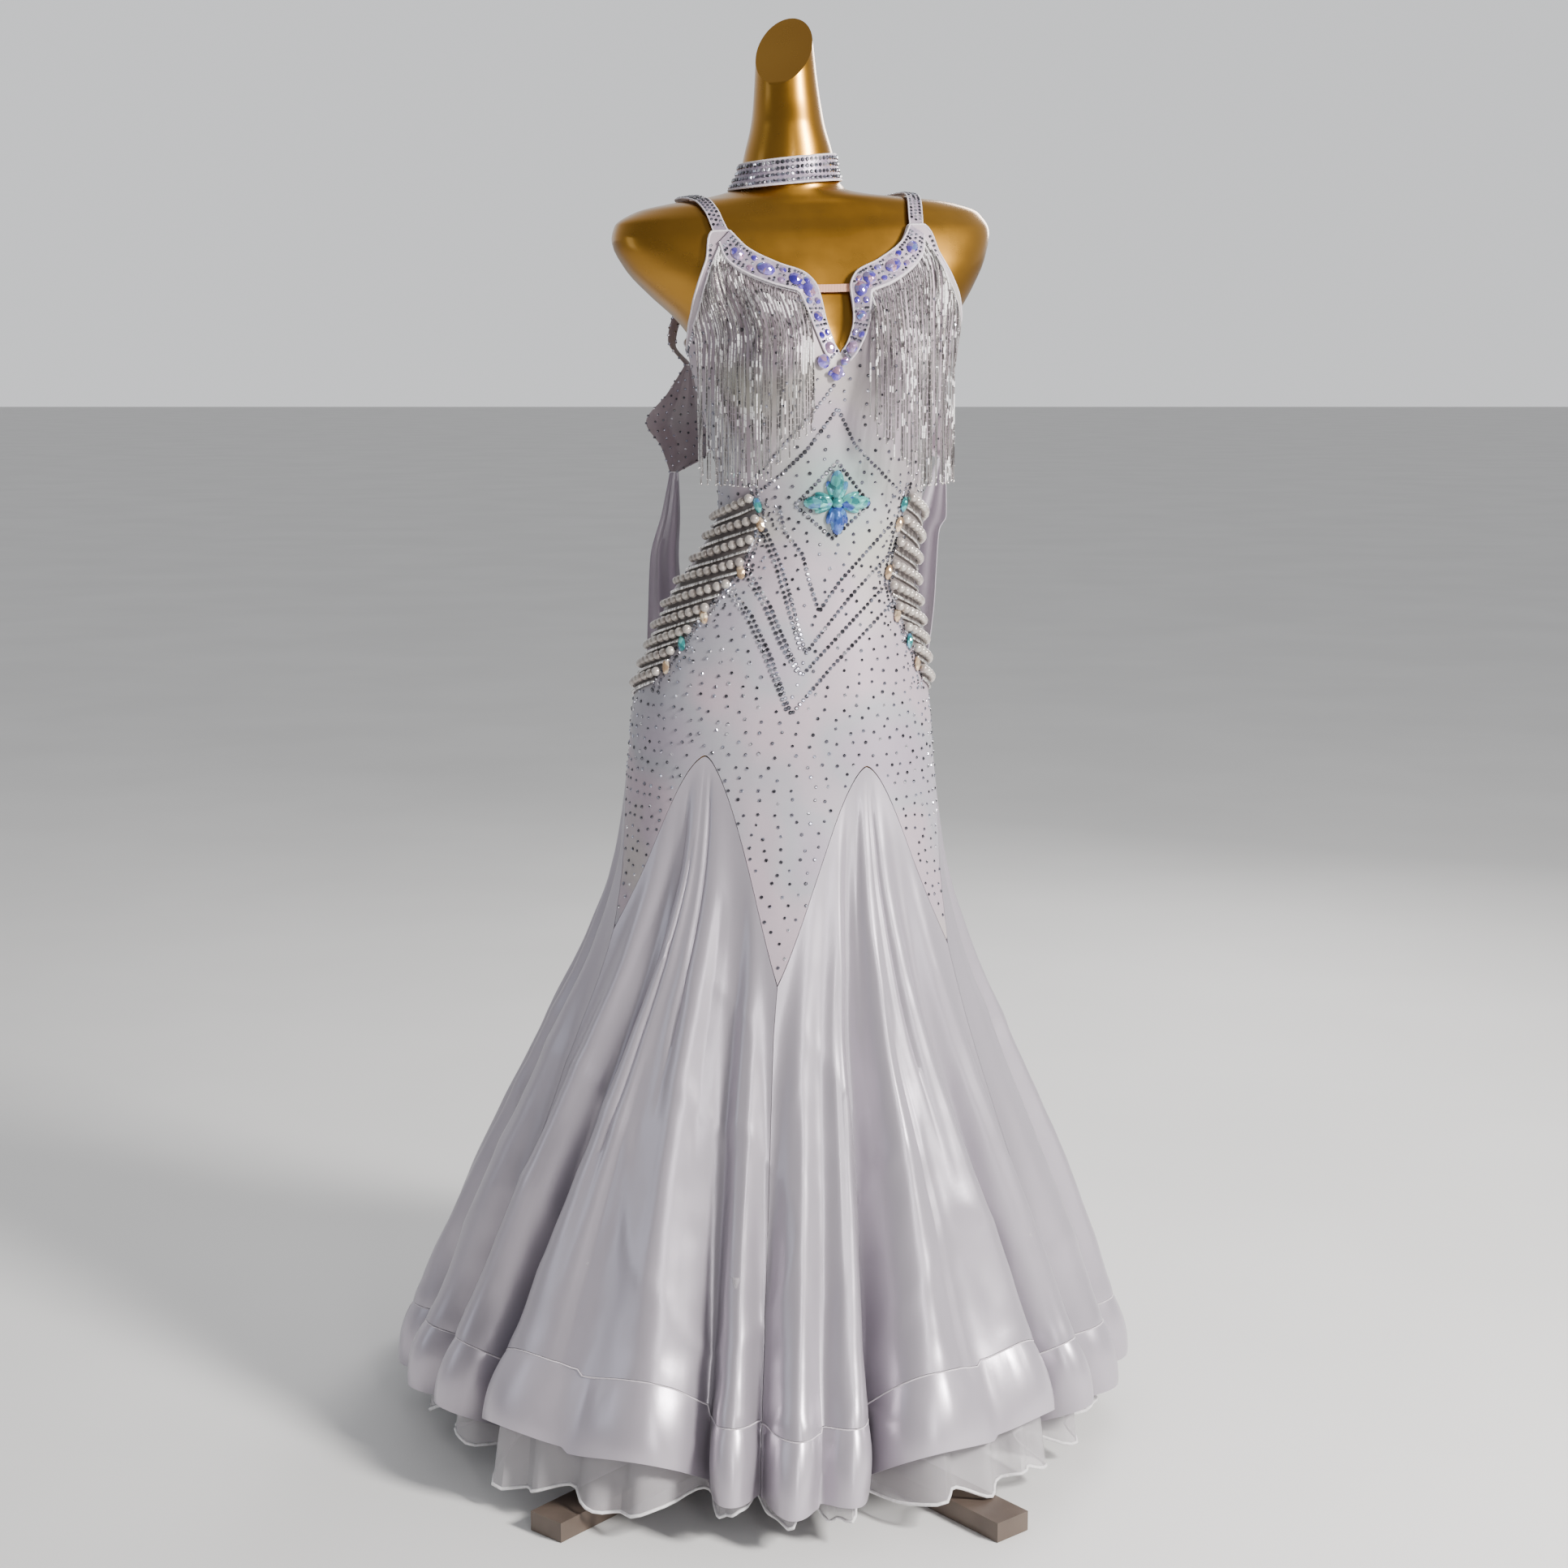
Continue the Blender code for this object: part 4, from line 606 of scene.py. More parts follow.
VIOLET = paint_stones("violet_gems", [
    (0.0, (0.060, 0.035, 0.42)), (0.3, (0.17, 0.12, 0.60)), (0.55, (0.38, 0.30, 0.55)),
    (0.8, (0.52, 0.28, 0.36)), (1.0, (0.16, 0.26, 0.66))], 0.6)
AQUA = paint_stones("aqua_gems", [
    (0.0, (0.020, 0.17, 0.18)), (0.4, (0.05, 0.34, 0.34)), (0.7, (0.16, 0.62, 0.56)),
    (1.0, (0.05, 0.12, 0.50))], 0.6)
BLUE = paint_stones("blue_gems", [
    (0.0, (0.015, 0.04, 0.26)), (0.5, (0.05, 0.13, 0.50)), (1.0, (0.14, 0.34, 0.66))], 0.6)
CHAMPAGNE = paint_stones("champagne_gems", [
    (0.0, (0.42, 0.27, 0.15)), (0.5, (0.62, 0.44, 0.28)), (1.0, (0.80, 0.66, 0.48))], 0.6)
BEADS = paint_beads()
GLINT_BEADS = paint_glint_beads()
PEARL = paint_pearl()
ELASTIC = paint_elastic()
STAND_DARK = paint_stand("stand_paint", (0.10, 0.075, 0.060), 0.2)
STAND_STEEL = paint_stand("stand_metal", (0.50, 0.50, 0.51), 0.95)


# Building pieces


def piece(name, points, faces, material, nodes=(), smooth=True, sharp=50, recalculate=True):
    """One object of the dress, riding on the root and standing for the solids that are named."""
    mesh = bpy.data.meshes.new(name)
    mesh.from_pydata(np.asarray(points).reshape(-1, 3).tolist(), [], faces)
    if recalculate:
        bm = bmesh.new()
        bm.from_mesh(mesh)
        bmesh.ops.recalc_face_normals(bm, faces=bm.faces)
        bm.to_mesh(mesh)
        bm.free()
    if smooth:
        mesh.shade_smooth()
        mesh.set_sharp_from_angle(angle=math.radians(sharp))
    mesh.materials.append(material)
    obj = bpy.data.objects.new(name, mesh)
    bpy.context.scene.collection.objects.link(obj)
    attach(obj, "root")
    if nodes:
        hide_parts(*nodes)
    return obj


def strip_faces(rows, columns, ring=False):
    last = columns if ring else columns - 1
    faces = []
    for r in range(rows - 1):
        for c in range(last):
            a, b = r * columns + c, r * columns + (c + 1) % columns
            faces.append((a, b, b + columns, a + columns))
    return faces


def stack_faces(rings, sides):
    """The faces of rings of points on top of each other, closed at both ends."""
    bottom, top = tuple(range(sides))[::-1], tuple((rings - 1) * sides + k for k in range(sides))
    return [*strip_faces(rings, sides, ring=True), bottom, top]


def repeated(faces, points_each, count):
    """The faces of many copies of one mesh."""
    return [tuple(i + n * points_each for i in face) for n in range(count) for face in faces]


def set_values(obj, name, values):
    """Gives each vertex a number that its paint reads."""
    obj.data.attributes.new(name, "FLOAT", "POINT").data.foreach_set("value", values)


def wall(name, inner, outer, material, nodes=(), ring=False):
    """A cloth wall between two matching grids, rows from the bottom up."""
    rows, columns = inner.shape[:2]
    back = rows * columns
    faces = strip_faces(rows, columns, ring)
    faces += [tuple(i + back for i in reversed(face)) for face in faces]
    last = columns if ring else columns - 1
    for c in range(last):
        for r in (0, rows - 1):
            a, b = r * columns + c, r * columns + (c + 1) % columns
            faces.append((a, b, b + back, a + back))
    if not ring:
        for r in range(rows - 1):
            for c in (0, columns - 1):
                a, d = r * columns + c, (r + 1) * columns + c
                faces.append((a, d, d + back, a + back))
    points = np.concatenate([outer.reshape(-1, 3), inner.reshape(-1, 3)])
    return piece(name, points, faces, material, nodes)


def tube(name, path, radius, material, closed=False, sides=8):
    """A round cord of cloth along a path."""
    path = np.asarray(path)
    ahead = np.roll(path, -1, axis=0) - np.roll(path, 1, axis=0) if closed else np.gradient(path, axis=0)
    ahead = unit(ahead)
    side = unit(np.cross(ahead, [0.03, 0.05, 1.0]))
    over = np.cross(side, ahead)
    turns = np.linspace(0, 2 * math.pi, sides, endpoint=False)
    rings = path[:, None] + radius * (
        side[:, None] * np.cos(turns)[None, :, None] + over[:, None] * np.sin(turns)[None, :, None])
    faces = stack_faces(len(path), sides)
    if closed:
        total = len(path) * sides
        faces = [tuple(i % total for i in face) for face in strip_faces(len(path) + 1, sides, ring=True)]
    return piece(name, rings, faces, material, sharp=80)


ROUND_STONE = ((1.0, 0.0), (0.98, 0.22), (0.52, 0.62))
PEAKED_STONE = ((1.0, 0.0), (1.0, 0.16), (0.62, 0.46), (0.30, 0.60))


def stones(name, places, material=CRYSTAL, profile=ROUND_STONE, sides=6, nodes=()):
    """Many cut stones in one mesh. A place holds its point, the way out, the way along, half its length and
    half its width."""
    points = []
    turns = np.linspace(0, 2 * math.pi, sides, endpoint=False)
    for at, out, along, half_length, half_width in places:
        out = unit(np.asarray(out))
        along = unit(np.asarray(along) - out * np.dot(along, out))
        side = np.cross(out, along)
        rise = (half_length * half_width) ** 0.5
        for reach, height in profile:
            for t in turns:
                points.append(
                    at + along * (reach * half_length * math.cos(t)) + side * (reach * half_width * math.sin(t))
                    + out * (height * rise))
    faces = repeated(stack_faces(len(profile), sides), len(profile) * sides, len(places))
    return piece(name, points, faces, material, nodes, smooth=False, recalculate=False)


def gems(name, places, material, sides=12, nodes=()):
    return stones(name, places, material, PEAKED_STONE, sides, nodes)


def balls(name, places, material, nodes=(), around=12, rings=8):
    """Many round beads in one mesh. A place holds a centre and a radius."""
    template, faces_of_one = [(0, 0, 1)], []
    for r in range(1, rings):
        for k in range(around):
            lean, turn = math.pi * r / rings, 2 * math.pi * k / around
            template.append((math.sin(lean) * math.cos(turn), math.sin(lean) * math.sin(turn), math.cos(lean)))
    template.append((0, 0, -1))
    bottom = len(template) - 1
    for k in range(around):
        m = (k + 1) % around
        faces_of_one.append((0, 1 + k, 1 + m))
        faces_of_one.append((bottom, bottom - around + m, bottom - around + k))
        for r in range(rings - 2):
            a, b = 1 + r * around + k, 1 + r * around + m
            faces_of_one.append((a, a + around, b + around, b))
    template = np.array(template)
    points = np.concatenate([np.asarray(centre) + template * radius for centre, radius in places])
    faces = repeated(faces_of_one, len(template), len(places))
    return piece(name, points, faces, material, nodes, sharp=80, recalculate=False)


def resampled(path, step):
    """Points along a path, evenly spaced."""
    path = np.asarray(path, float)
    lengths = run_lengths(path)
    count = max(2, int(round(lengths[-1] / step)) + 1)
    at = np.linspace(0, lengths[-1], count)
    return np.stack([np.interp(at, lengths, path[:, k]) for k in range(path.shape[1])], axis=1)


# The form and its stand


def make_form():
    """The form's skin. Gives a tree of its faces back, for what lies on the shoulders."""
    levels = [FORM_BOTTOM, FORM_BOTTOM + 0.002]
    levels += list(np.linspace(0.76, 1.38, 78)) + list(np.linspace(1.384, 1.450, 45))
    levels += list(np.linspace(1.456, NECK_CUT - 0.003, 28)) + [NECK_CUT]
    around = 128
    angles = 2 * math.pi * np.arange(around) / around
    angle, level = np.meshgrid(angles, np.array(levels))
    rings = FORM.point(angle, level)
    hidden = np.clip((INSET_FROM - level) / (INSET_FROM - INSET_FULL), 0, 1)
    rings -= FORM.normal(angle, level) * [1, 1, 0] * HIDDEN_INSET * hidden[..., None]
    tilt = np.clip((level - NECK_TILT_FROM) / (NECK_CUT - NECK_TILT_FROM), 0, 1)
    rings[..., 2] -= NECK_CUT_DROP * np.cos(angle - NECK_CUT_SIDE) * tilt
    faces = stack_faces(len(levels), around)
    piece("form_skin", rings, faces, GOLD, ["dress_form"], sharp=35)
    return BVHTree.FromPolygons([tuple(p) for p in rings.reshape(-1, 3)], faces)


def dress_stand():
    for name, paint in (
        ("stand_bars", STAND_DARK), ("stand_collar", STAND_STEEL), ("stand_pole", STAND_STEEL),
    ):
        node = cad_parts[name]
        node.data.materials.clear()
        node.data.materials.append(paint)
        edge = node.modifiers.new("soft_edge", "BEVEL")
        edge.width = 0.0015
        edge.segments = 2
        edge.limit_method = "ANGLE"


# The fitted body


def zigzag(degrees):
    """The height of the seam between the body and the godets."""
    degrees = (np.asarray(degrees, float) + 180) % 360 - 180
    level = np.zeros_like(degrees)
    for godet in GODETS:
        middle, half = (godet.start + godet.end) / 2, (godet.end - godet.start) / 2
        share = np.abs(degrees - middle) / half
        point = np.where(degrees < middle, POINTS[godet.start], POINTS[godet.end])
        inside = (degrees >= godet.start) & (degrees <= godet.end)
        level = np.where(inside, point + (godet.top - point) * (1 - np.minimum(share, 1) ** GODET_ROUND), level)
    return level


def body_grid(middle, edge, columns, rows):
    """Angles and levels over a panel of the body."""
    edge_columns = [row.column for row in edge] + [LAST_COLUMN]
    edge_angles = [math.degrees(DRESS.angle_at(row.across, row.level)) for row in edge] + [90]
    edge_levels = [row.level for row in edge] + [UNDERARM]
    places = np.linspace(-LAST_COLUMN, LAST_COLUMN, columns)
    low_angle = places * COLUMN_DEGREES
    top_angle = np.sign(places) * Curve(edge_columns, edge_angles)(np.abs(places))
    top = Curve(edge_columns, edge_levels)(np.abs(places))
    low = zigzag(middle + low_angle) + BODY_ABOVE_SEAM
    share = np.linspace(0, 1, rows)[:, None]
    level = low + (top - low) * share
    lean = np.maximum(0.0, level - LEAN_FROM) / (top - LEAN_FROM)
    angle = np.radians(middle + low_angle + (top_angle - low_angle) * lean)
    inset = SEAM / DRESS.section(level).back
    angle[:, 0] += inset[:, 0]
    angle[:, -1] -= inset[:, -1]
    return angle, level


BROOCH_X, BROOCH_LEVEL = 0.061, 1.094
AQUA_LEVEL, AQUA_REACH = 1.105, 0.055  # the faint green tint round the brooch
PEARL_ACROSS = Curve([row.level for row in PEARL_FRONT[::-1]], [row.across for row in PEARL_FRONT[::-1]])


def pearl_cover(angle, level):
    """How far a place on the body lies behind the pearl strings, from 0 to 1."""
    turned = (angle + math.pi) % (2 * math.pi) - math.pi
    front = DRESS.angle_at(PEARL_ACROSS(level), level)
    behind = np.clip((np.abs(turned) - front) / 0.05, 0, 1)
    ahead = np.clip((front + math.radians(PEARL_SWEEP) + 0.05 - np.abs(turned)) / 0.1, 0, 1)
    fallen = np.clip((np.abs(turned) - front) / math.radians(PEARL_SWEEP), 0, 1) * PEARL_FALL
    top, bottom = PEARL_FRONT[0].level - fallen, PEARL_FRONT[-1].level - 0.75 * fallen
    tall = np.clip((top - level) / 0.012, 0, 1) * np.clip((level - bottom + 0.006) / 0.012, 0, 1)
    return behind * ahead * tall


def make_body(name, middle, edge):
    angle, level = body_grid(middle, edge, 191, 112)
    base = DRESS.point(angle, level)
    pull = 0.00045 * waves(base * [1, 1, 0.35], 38.0)
    inner, outer = (DRESS.skin(angle, level, out + pull) for out in (EASE, EASE + CLOTH))
    obj = wall(f"{name}_cloth", inner, outer, STRETCH, [name])
    # Painted shade: the cloth is darkened behind the pearl strings.
    set_values(obj, "painted_shade", np.tile(pearl_cover(angle, level).reshape(-1), 2) * 0.95)
    tint_middle = on_body(DRESS.angle_for_x(BROOCH_X, AQUA_LEVEL), AQUA_LEVEL, 0.0)
    near = np.exp(-((length(base - tint_middle) / AQUA_REACH) ** 2))
    set_values(obj, "aqua", np.tile(near.reshape(-1), 2) * 0.75)
    word = name.split("_")[1]
    tube(f"body_edge_{word}", outer[-1] * 0.7 + inner[-1] * 0.3, 0.0013, PIPING)
    make_edge_stones(word, angle[-2], level[-2] - 0.0035, 10 if word == "front" else 0)


def make_edge_stones(word, angle, level, from_column):
    """A row of stones along a panel's upper edge, outside a column."""
    lengths = run_lengths(on_body(angle, level, 0.0))
    columns = np.linspace(-LAST_COLUMN, LAST_COLUMN, len(angle))
    places = []
    for at in np.arange(0.004, lengths[-1], STONE_STEP):
        if abs(np.interp(at, lengths, columns)) >= from_column:
            turn, height = np.interp(at, lengths, angle), np.interp(at, lengths, level)
            places.append(stone(turn, height, 0.0020, random.uniform(0, 3)))
    stones(f"edge_stones_{word}", places)


# Stones on the body

STONE_STEP = 0.0056
SCATTER_ROW, SCATTER_COLUMN = 0.0128, 0.0145

def stone(angle, level, radius, turn=0.0):
    """A round stone on the body's cloth."""
    at = on_body(angle, level, 0.0001)
    out = DRESS.normal(angle, level)
    along = np.array([math.cos(turn), math.sin(turn) * 0.5, math.sin(turn)])
    return at, out, along, radius, radius


def panel_top(angle, middle, edge):
    """The height of a panel's upper edge at an angle."""
    turned = abs(math.degrees(angle) - middle)
    turned = min(turned, 360 - turned)
    angles = [math.degrees(DRESS.angle_at(row.across, row.level)) for row in edge] + [90]
    levels = [row.level for row in edge] + [UNDERARM]
    return float(np.interp(turned, angles, levels))


def make_body_stones():
    lines = np.concatenate([resampled(line, STONE_STEP) for line in STONE_LINES])
    angle = DRESS.angle_for_x(lines[:, 0], lines[:, 1])
    places = [
        stone(a, z, random.uniform(0.0022, 0.0027), random.uniform(0, 3)) for a, z in zip(angle, lines[:, 1])]
    stones("stone_lines", places, sides=7)

    places = []
    line_points = on_body(angle, lines[:, 1], 0.0)
    for row, level in enumerate(np.arange(0.575, 1.36, SCATTER_ROW)):
        s = DRESS.section(level)
        around = math.pi * (s.half_width + (s.front + s.back) / 2)
        count = int(around / SCATTER_COLUMN)
        for k in range(count):
            turn = 2 * math.pi * (k + (row % 2) * 0.5 + random.uniform(-0.22, 0.22)) / count - math.pi
            height = float(level + random.uniform(-0.0032, 0.0032))
            front = abs(turn) < math.pi / 2
            top = panel_top(turn, 0 if front else 180, FRONT_EDGE if front else BACK_EDGE)
            under_edge = 0.034 if front and abs(turn) < 1.0 else 0.007
            if not zigzag(math.degrees(turn)) + 0.006 <= height <= top - under_edge:
                continue
            if pearl_cover(turn, height) > 0.25:
                continue
            at = on_body(turn, height, 0.0)
            if front and np.linalg.norm(line_points - at, axis=1).min() < 0.0062:
                continue
            places.append(stone(turn, height, random.uniform(0.0018, 0.0023), random.uniform(0, 3)))
    stones("stones_scattered", places)


# Skirt

PER_HALF = 9
SEAM_GAP = 0.0006
FLOUNCE_ROWS = 26
Columns = namedtuple("Columns", "godet top_angle plain pinched depth crest hem ripple")


def skirt_columns():
    rows = []
    for first, second in zip(FOLDS[:-1], FOLDS[1:]):
        index = next(i for i, g in enumerate(GODETS) if g.hem_start <= first.angle < g.hem_end)
        godet = GODETS[index]
        hem_middle = (godet.hem_start + godet.hem_end) / 2
        top_middle = (godet.start + godet.end) / 2
        half = (second.angle - first.angle) / 2
        steps = [(first, 1, i) for i in range(PER_HALF)] + [(second, -1, i) for i in range(PER_HALF, 0, -1)]
        for valley, side, i in steps:
            u = i / PER_HALF
            fold = (1 + math.cos(math.pi * u)) / 2
            full = min(1.0, valley.depth / FULL_FOLD)
            plain = valley.angle + side * half * u
            pinched = plain - side * half * PINCH * full * math.sin(math.pi * u) / math.pi
            share = (plain - hem_middle) / (godet.hem_end - hem_middle)
            top_angle = top_middle + (godet.end - top_middle) * math.copysign(abs(share) ** FAN, share)
            valley_hem = VALLEY_HEM * full + first.hem * (1 - full)
            hem = valley_hem + (first.hem - valley_hem) * (1 - fold)
            depth = first.back + (valley.depth - first.back) * fold
            ripple = (1 - fold) * math.sin(2 * math.pi * u) ** 2
            rows.append((index, top_angle, plain, pinched, depth, 1 - fold, hem, ripple))
    return Columns(*(np.array(values) for values in zip(*rows)))


COLUMNS = skirt_columns()
GODET_TOPS = zigzag(COLUMNS.top_angle) - GODET_BELOW_SEAM


def creases(fallen):
    """How far the satin lies inwards in its creases."""
    depth = np.zeros_like(fallen)
    for crease in CREASES:
        across = np.exp(-(((COLUMNS.plain - crease.angle) / crease.width) ** 2))
        middle, half = (crease.begins + crease.ends) / 2, (crease.ends - crease.begins) / 2
        along = np.clip(1 - ((fallen - middle) / half) ** 2, 0, 1)
        depth += crease.depth * across[None] * along**0.7
    return depth


def skirt_grid(level, loose=0.0, inside=0.0, creased=False):
    """Points in the middle of the satin, or further inside with its folds less pinched."""
    fallen = np.clip((GODET_TOPS - level) / (GODET_TOPS - COLUMNS.hem), 0, 1)
    hem_angle = COLUMNS.plain + (COLUMNS.pinched - COLUMNS.plain) * fallen * (1 - loose)
    angle = np.radians(COLUMNS.top_angle + (hem_angle - COLUMNS.top_angle) * fallen)
    point = DRESS.skin(angle, level, np.full(level.shape, EASE + CLOTH / 2))
    s = DRESS.section(level)
    inwards = np.stack([s.centre_x - point[..., 0], s.centre_y - point[..., 1], np.zeros_like(level)], axis=-1)
    depth = COLUMNS.depth * fallen**FOLD_GROWTH + inside
    if creased:
        depth = depth + creases(fallen)
    return point + unit(inwards) * depth[..., None]


def godet_pieces(name, grid, normals, outwards, inwards, material, shade=None):
    """Cuts a ring round the whole skirt into the godets' pieces. Gives the middles of the cuts back."""
    along = unit(np.cross(np.gradient(grid, axis=0), normals))
    middles = []
    for index, godet in enumerate(GODETS):
        own = list(np.flatnonzero(COLUMNS.godet == index))
        own.append((own[-1] + 1) % len(COLUMNS.godet))
        shift = np.zeros((1, len(own), 1))
        shift[0, 0], shift[0, -1] = SEAM * 0.6, -SEAM * 0.6
        middle = grid[:, own] + along[:, own] * shift
        inner = middle - normals[:, own] * inwards
        outer = middle + normals[:, own] * outwards[:, own]
        node = f"{name}_{godet.name}"
        obj = wall(f"{node}_cloth", inner, outer, material, [node])
        # Painted shade for the cloth, read by its paint.
        if shade is not None:
            set_values(obj, "painted_shade", np.tile(shade[:, own].reshape(-1), 2))
        middles.append(middle)
    return middles


def make_skirt():
    """The satin godets and the hem bands below them, in one grid round the skirt, and their seam cords."""
    top, hem = GODET_TOPS, COLUMNS.hem
    band_rows, satin_rows = 12, 84
    share = np.linspace(0, 1, band_rows)[:, None]
    rise = np.linspace(0, 1, satin_rows)[:, None]
    band_level = hem + (BAND_HEIGHT - SEAM_GAP) * share
    seam_level = hem + BAND_HEIGHT + SEAM_GAP
    level = np.concatenate([band_level, seam_level + (top - seam_level) * rise])
    grid = skirt_grid(level, creased=True)
    normals = grid_normals(grid, ring=True)
    rough = waves(grid * [1, 1, 0.5], 16.0, 3.0)[..., None]
    fine = waves(grid * [1, 1, 0.6], 48.0, 9.0)[..., None]
    ridge = (1 - np.abs(waves(grid * [1, 1, 0.5], 8.0, 7.0)))[..., None] ** 5
    calm = np.clip(np.concatenate([np.full((band_rows, 1), 0.5), 1 - rise**3])[:, :, None], 0, 1)
    grid = grid + normals * (0.0022 * rough + 0.0006 * fine + 0.0030 * (ridge - 0.4)) * calm
    normals = grid_normals(grid, ring=True)
    normals[band_rows - 1] = normals[band_rows]
    fallen = np.clip((top - level) / (top - hem), 0, 1)
    # Painted shade in the fold valleys, growing with the fold's depth towards the hem.
    shade = 0.88 * np.clip(COLUMNS.depth * fallen / FULL_FOLD, 0, 1) ** 1.4

    crest = COLUMNS.crest[None, :, None]
    puff = np.sin(math.pi * np.clip(share, 0, 1)) ** 0.8
    around = np.arange(len(hem))[None, :, None]
    gathers = np.sin(around * 1.9 + 2.5 * waves(grid[:band_rows], 9.0, 5.0)[..., None]) * 0.0009
    gathers = gathers * (np.clip(share * 1.6 - 0.5, 0, 1) * np.clip((1 - share) * 9, 0, 1))[..., None]
    swell = (0.0006 + BAND_PUFF * puff[..., None] * (0.35 + 0.65 * crest)) * np.clip(crest * 2.5 + 0.15, 0, 1)
    godet_pieces(
        "hem_band", grid[:band_rows], normals[:band_rows], CLOTH / 2 + swell + gathers, CLOTH / 2, BAND_SATIN,
        shade[:band_rows])
    over_seam = np.exp(-(((rise - 0.012) / 0.02) ** 2))[..., None] * 0.0012 * crest
    godet_pieces(
        "godet", grid[band_rows:], normals[band_rows:], CLOTH / 2 + over_seam, CLOTH / 2, SATIN,
        shade[band_rows:])
    make_seam_cords(grid[band_rows - 1], normals[band_rows - 1])


def make_flounces():
    """The fluted organza under the godets, with its stiff white edge."""
    turn = np.arange(len(COLUMNS.hem))
    down = np.linspace(1, 0, FLOUNCE_ROWS)[:, None]
    level = FLOUNCE_TOP - (FLOUNCE_TOP - FLOUNCE_LOW) * down
    level = level + 0.0080 * down**2 * np.sin(turn * 0.42 + 2.0 * np.sin(turn * 0.043))
    flutes = 1 + np.sin(turn * 0.84 + 1.7 * np.sin(turn * 0.11) + 0.9 * down * np.sin(turn * 0.05))
    inside = down * (FLOUNCE_CLEAR + FLOUNCE_RIPPLE * COLUMNS.ripple + 0.0095 * flutes) + 0.0028
    grid = skirt_grid(level, FLOUNCE_LOOSE * down, inside)
    flutter = waves(grid * [1, 1, 0.3], 22.0, 1.0)[..., None] * down[..., None]
    grid = grid + grid_normals(grid, ring=True) * 0.0016 * flutter
    middles = godet_pieces(
        "flounce", grid, grid_normals(grid, ring=True), np.full((1, len(turn), 1), FLOUNCE_HALF_WALL),
        FLOUNCE_HALF_WALL, ORGANZA)
    for godet, middle in zip(GODETS, middles):
        tube(f"flounce_edge_{godet.name}", middle[0] + [0, 0, 0.0015], 0.0019, EDGE_WHITE)


def make_seam_cords(path, normals):
    """The fine cord in the seam above each hem band."""
    path = path + normals * (CLOTH * 0.75)
    for index, godet in enumerate(GODETS):
        own = np.flatnonzero(COLUMNS.godet == index)
        tube(f"hem_seam_{godet.name}", path[own], 0.0009, PIPING, sides=6)


# Neck bands, straps, choker

NECKLINE = FRONT_EDGE[:NECKLINE_ROWS]
NECKLINE_LENGTHS = run_lengths([(row.across, row.level) for row in NECKLINE])
NECKLINE_ACROSS = Curve(NECKLINE_LENGTHS, [row.across for row in NECKLINE])
NECKLINE_LEVEL = Curve(NECKLINE_LENGTHS, [row.level for row in NECKLINE])
NECK_BAND_WIDTH = Curve(*zip(*NECK_BAND_WIDTHS))
NECK_BAND_LIFT = 0.0013


def neckline(share):
    at = share * NECKLINE_LENGTHS[-1]
    return np.array([float(NECKLINE_ACROSS(at)), float(NECKLINE_LEVEL(at))])


def neck_band_place(share, down):
    way = neckline(min(1, share + 0.04)) - neckline(max(0, share - 0.04))
    way /= np.linalg.norm(way)
    place = neckline(share) + np.array([way[1], -way[0]]) * float(NECK_BAND_WIDTH(share)) * down
    return max(place[0], 1.5 * SEAM), place[1]


def front_place(side, across, level, out):
    angle = side * DRESS.angle_at(across, level)
    return on_body(angle, level, out), DRESS.normal(angle, level)


def make_neck_band(side, word):
    """A jewelled band along half the neckline. The left one stands off the body along its lower edge."""
    columns, rows = 90, 9
    inner, outer = np.zeros((rows, columns + 1, 3)), np.zeros((rows, columns + 1, 3))
    for r, down in enumerate(np.linspace(1, 0, rows)):
        for c in range(columns + 1):
            share = 0.02 + 0.97 * c / columns
            across, level = neck_band_place(share, down)
            stands_off = 0.0032 * down * math.sin(math.pi * min(1, max(0, (share - 0.3) / 0.7))) * (side < 0)
            lift = NECK_BAND_LIFT * 0.5 + stands_off
            inner[r, c], _ = front_place(side, across, level, lift)
            outer[r, c], _ = front_place(side, across, level, lift + BAND_THICK)
    obj = wall(f"neck_band_{word}_cloth", inner, outer, JEWELLED, [f"neck_band_{word}"])
    for row, edge in ((0, "lower"), (rows - 1, "upper")):
        path = inner[row] * 0.35 + outer[row] * 0.65
        tube(f"neck_piping_{word}_{edge}", path, 0.0012, PIPING)

    ways = unit(np.gradient(outer, axis=1))
    outs = unit(np.cross(ways, np.gradient(outer, axis=0)))
    outs *= np.sign((outs * [[[0, -1, 0]]]).sum(axis=2, keepdims=True))

    def spot(share, down):
        i, j = int(round((1 - down) * (rows - 1))), int(round(share * columns))
        return outer[i, j], outs[i, j], ways[i, j]

    large, small = [], []
    sizes = [(0.0068, 0.0056), (0.0060, 0.0050), (0.0088, 0.0066), (0.0074, 0.0074), (0.0100, 0.0070),
             (0.0078, 0.0062)]
    for k, (half_length, half_width) in enumerate(sizes):
        at, out, way = spot((3 * k + 1) / 18, 0.5)
        large.append((at, out, way, half_length, half_width))
        for down in (0.26, 0.74) if k else ():
            at, out, way = spot((3 * k - 0.5) / 18, down)
            large.append((at, out, way, 0.0040, 0.0032))
    gems(f"neck_gems_{word}", large, VIOLET)
    for down in (0.12, 0.31, 0.5, 0.69, 0.88):
        for k in range(42):
            at, out, way = spot(0.012 + 0.98 * k / 42, down)
            if all(np.linalg.norm(at - gem[0]) > gem[3] + 0.0016 for gem in large):
                small.append((at, out, way, 0.0018, 0.0018))
    stones(f"neck_stones_{word}", small)


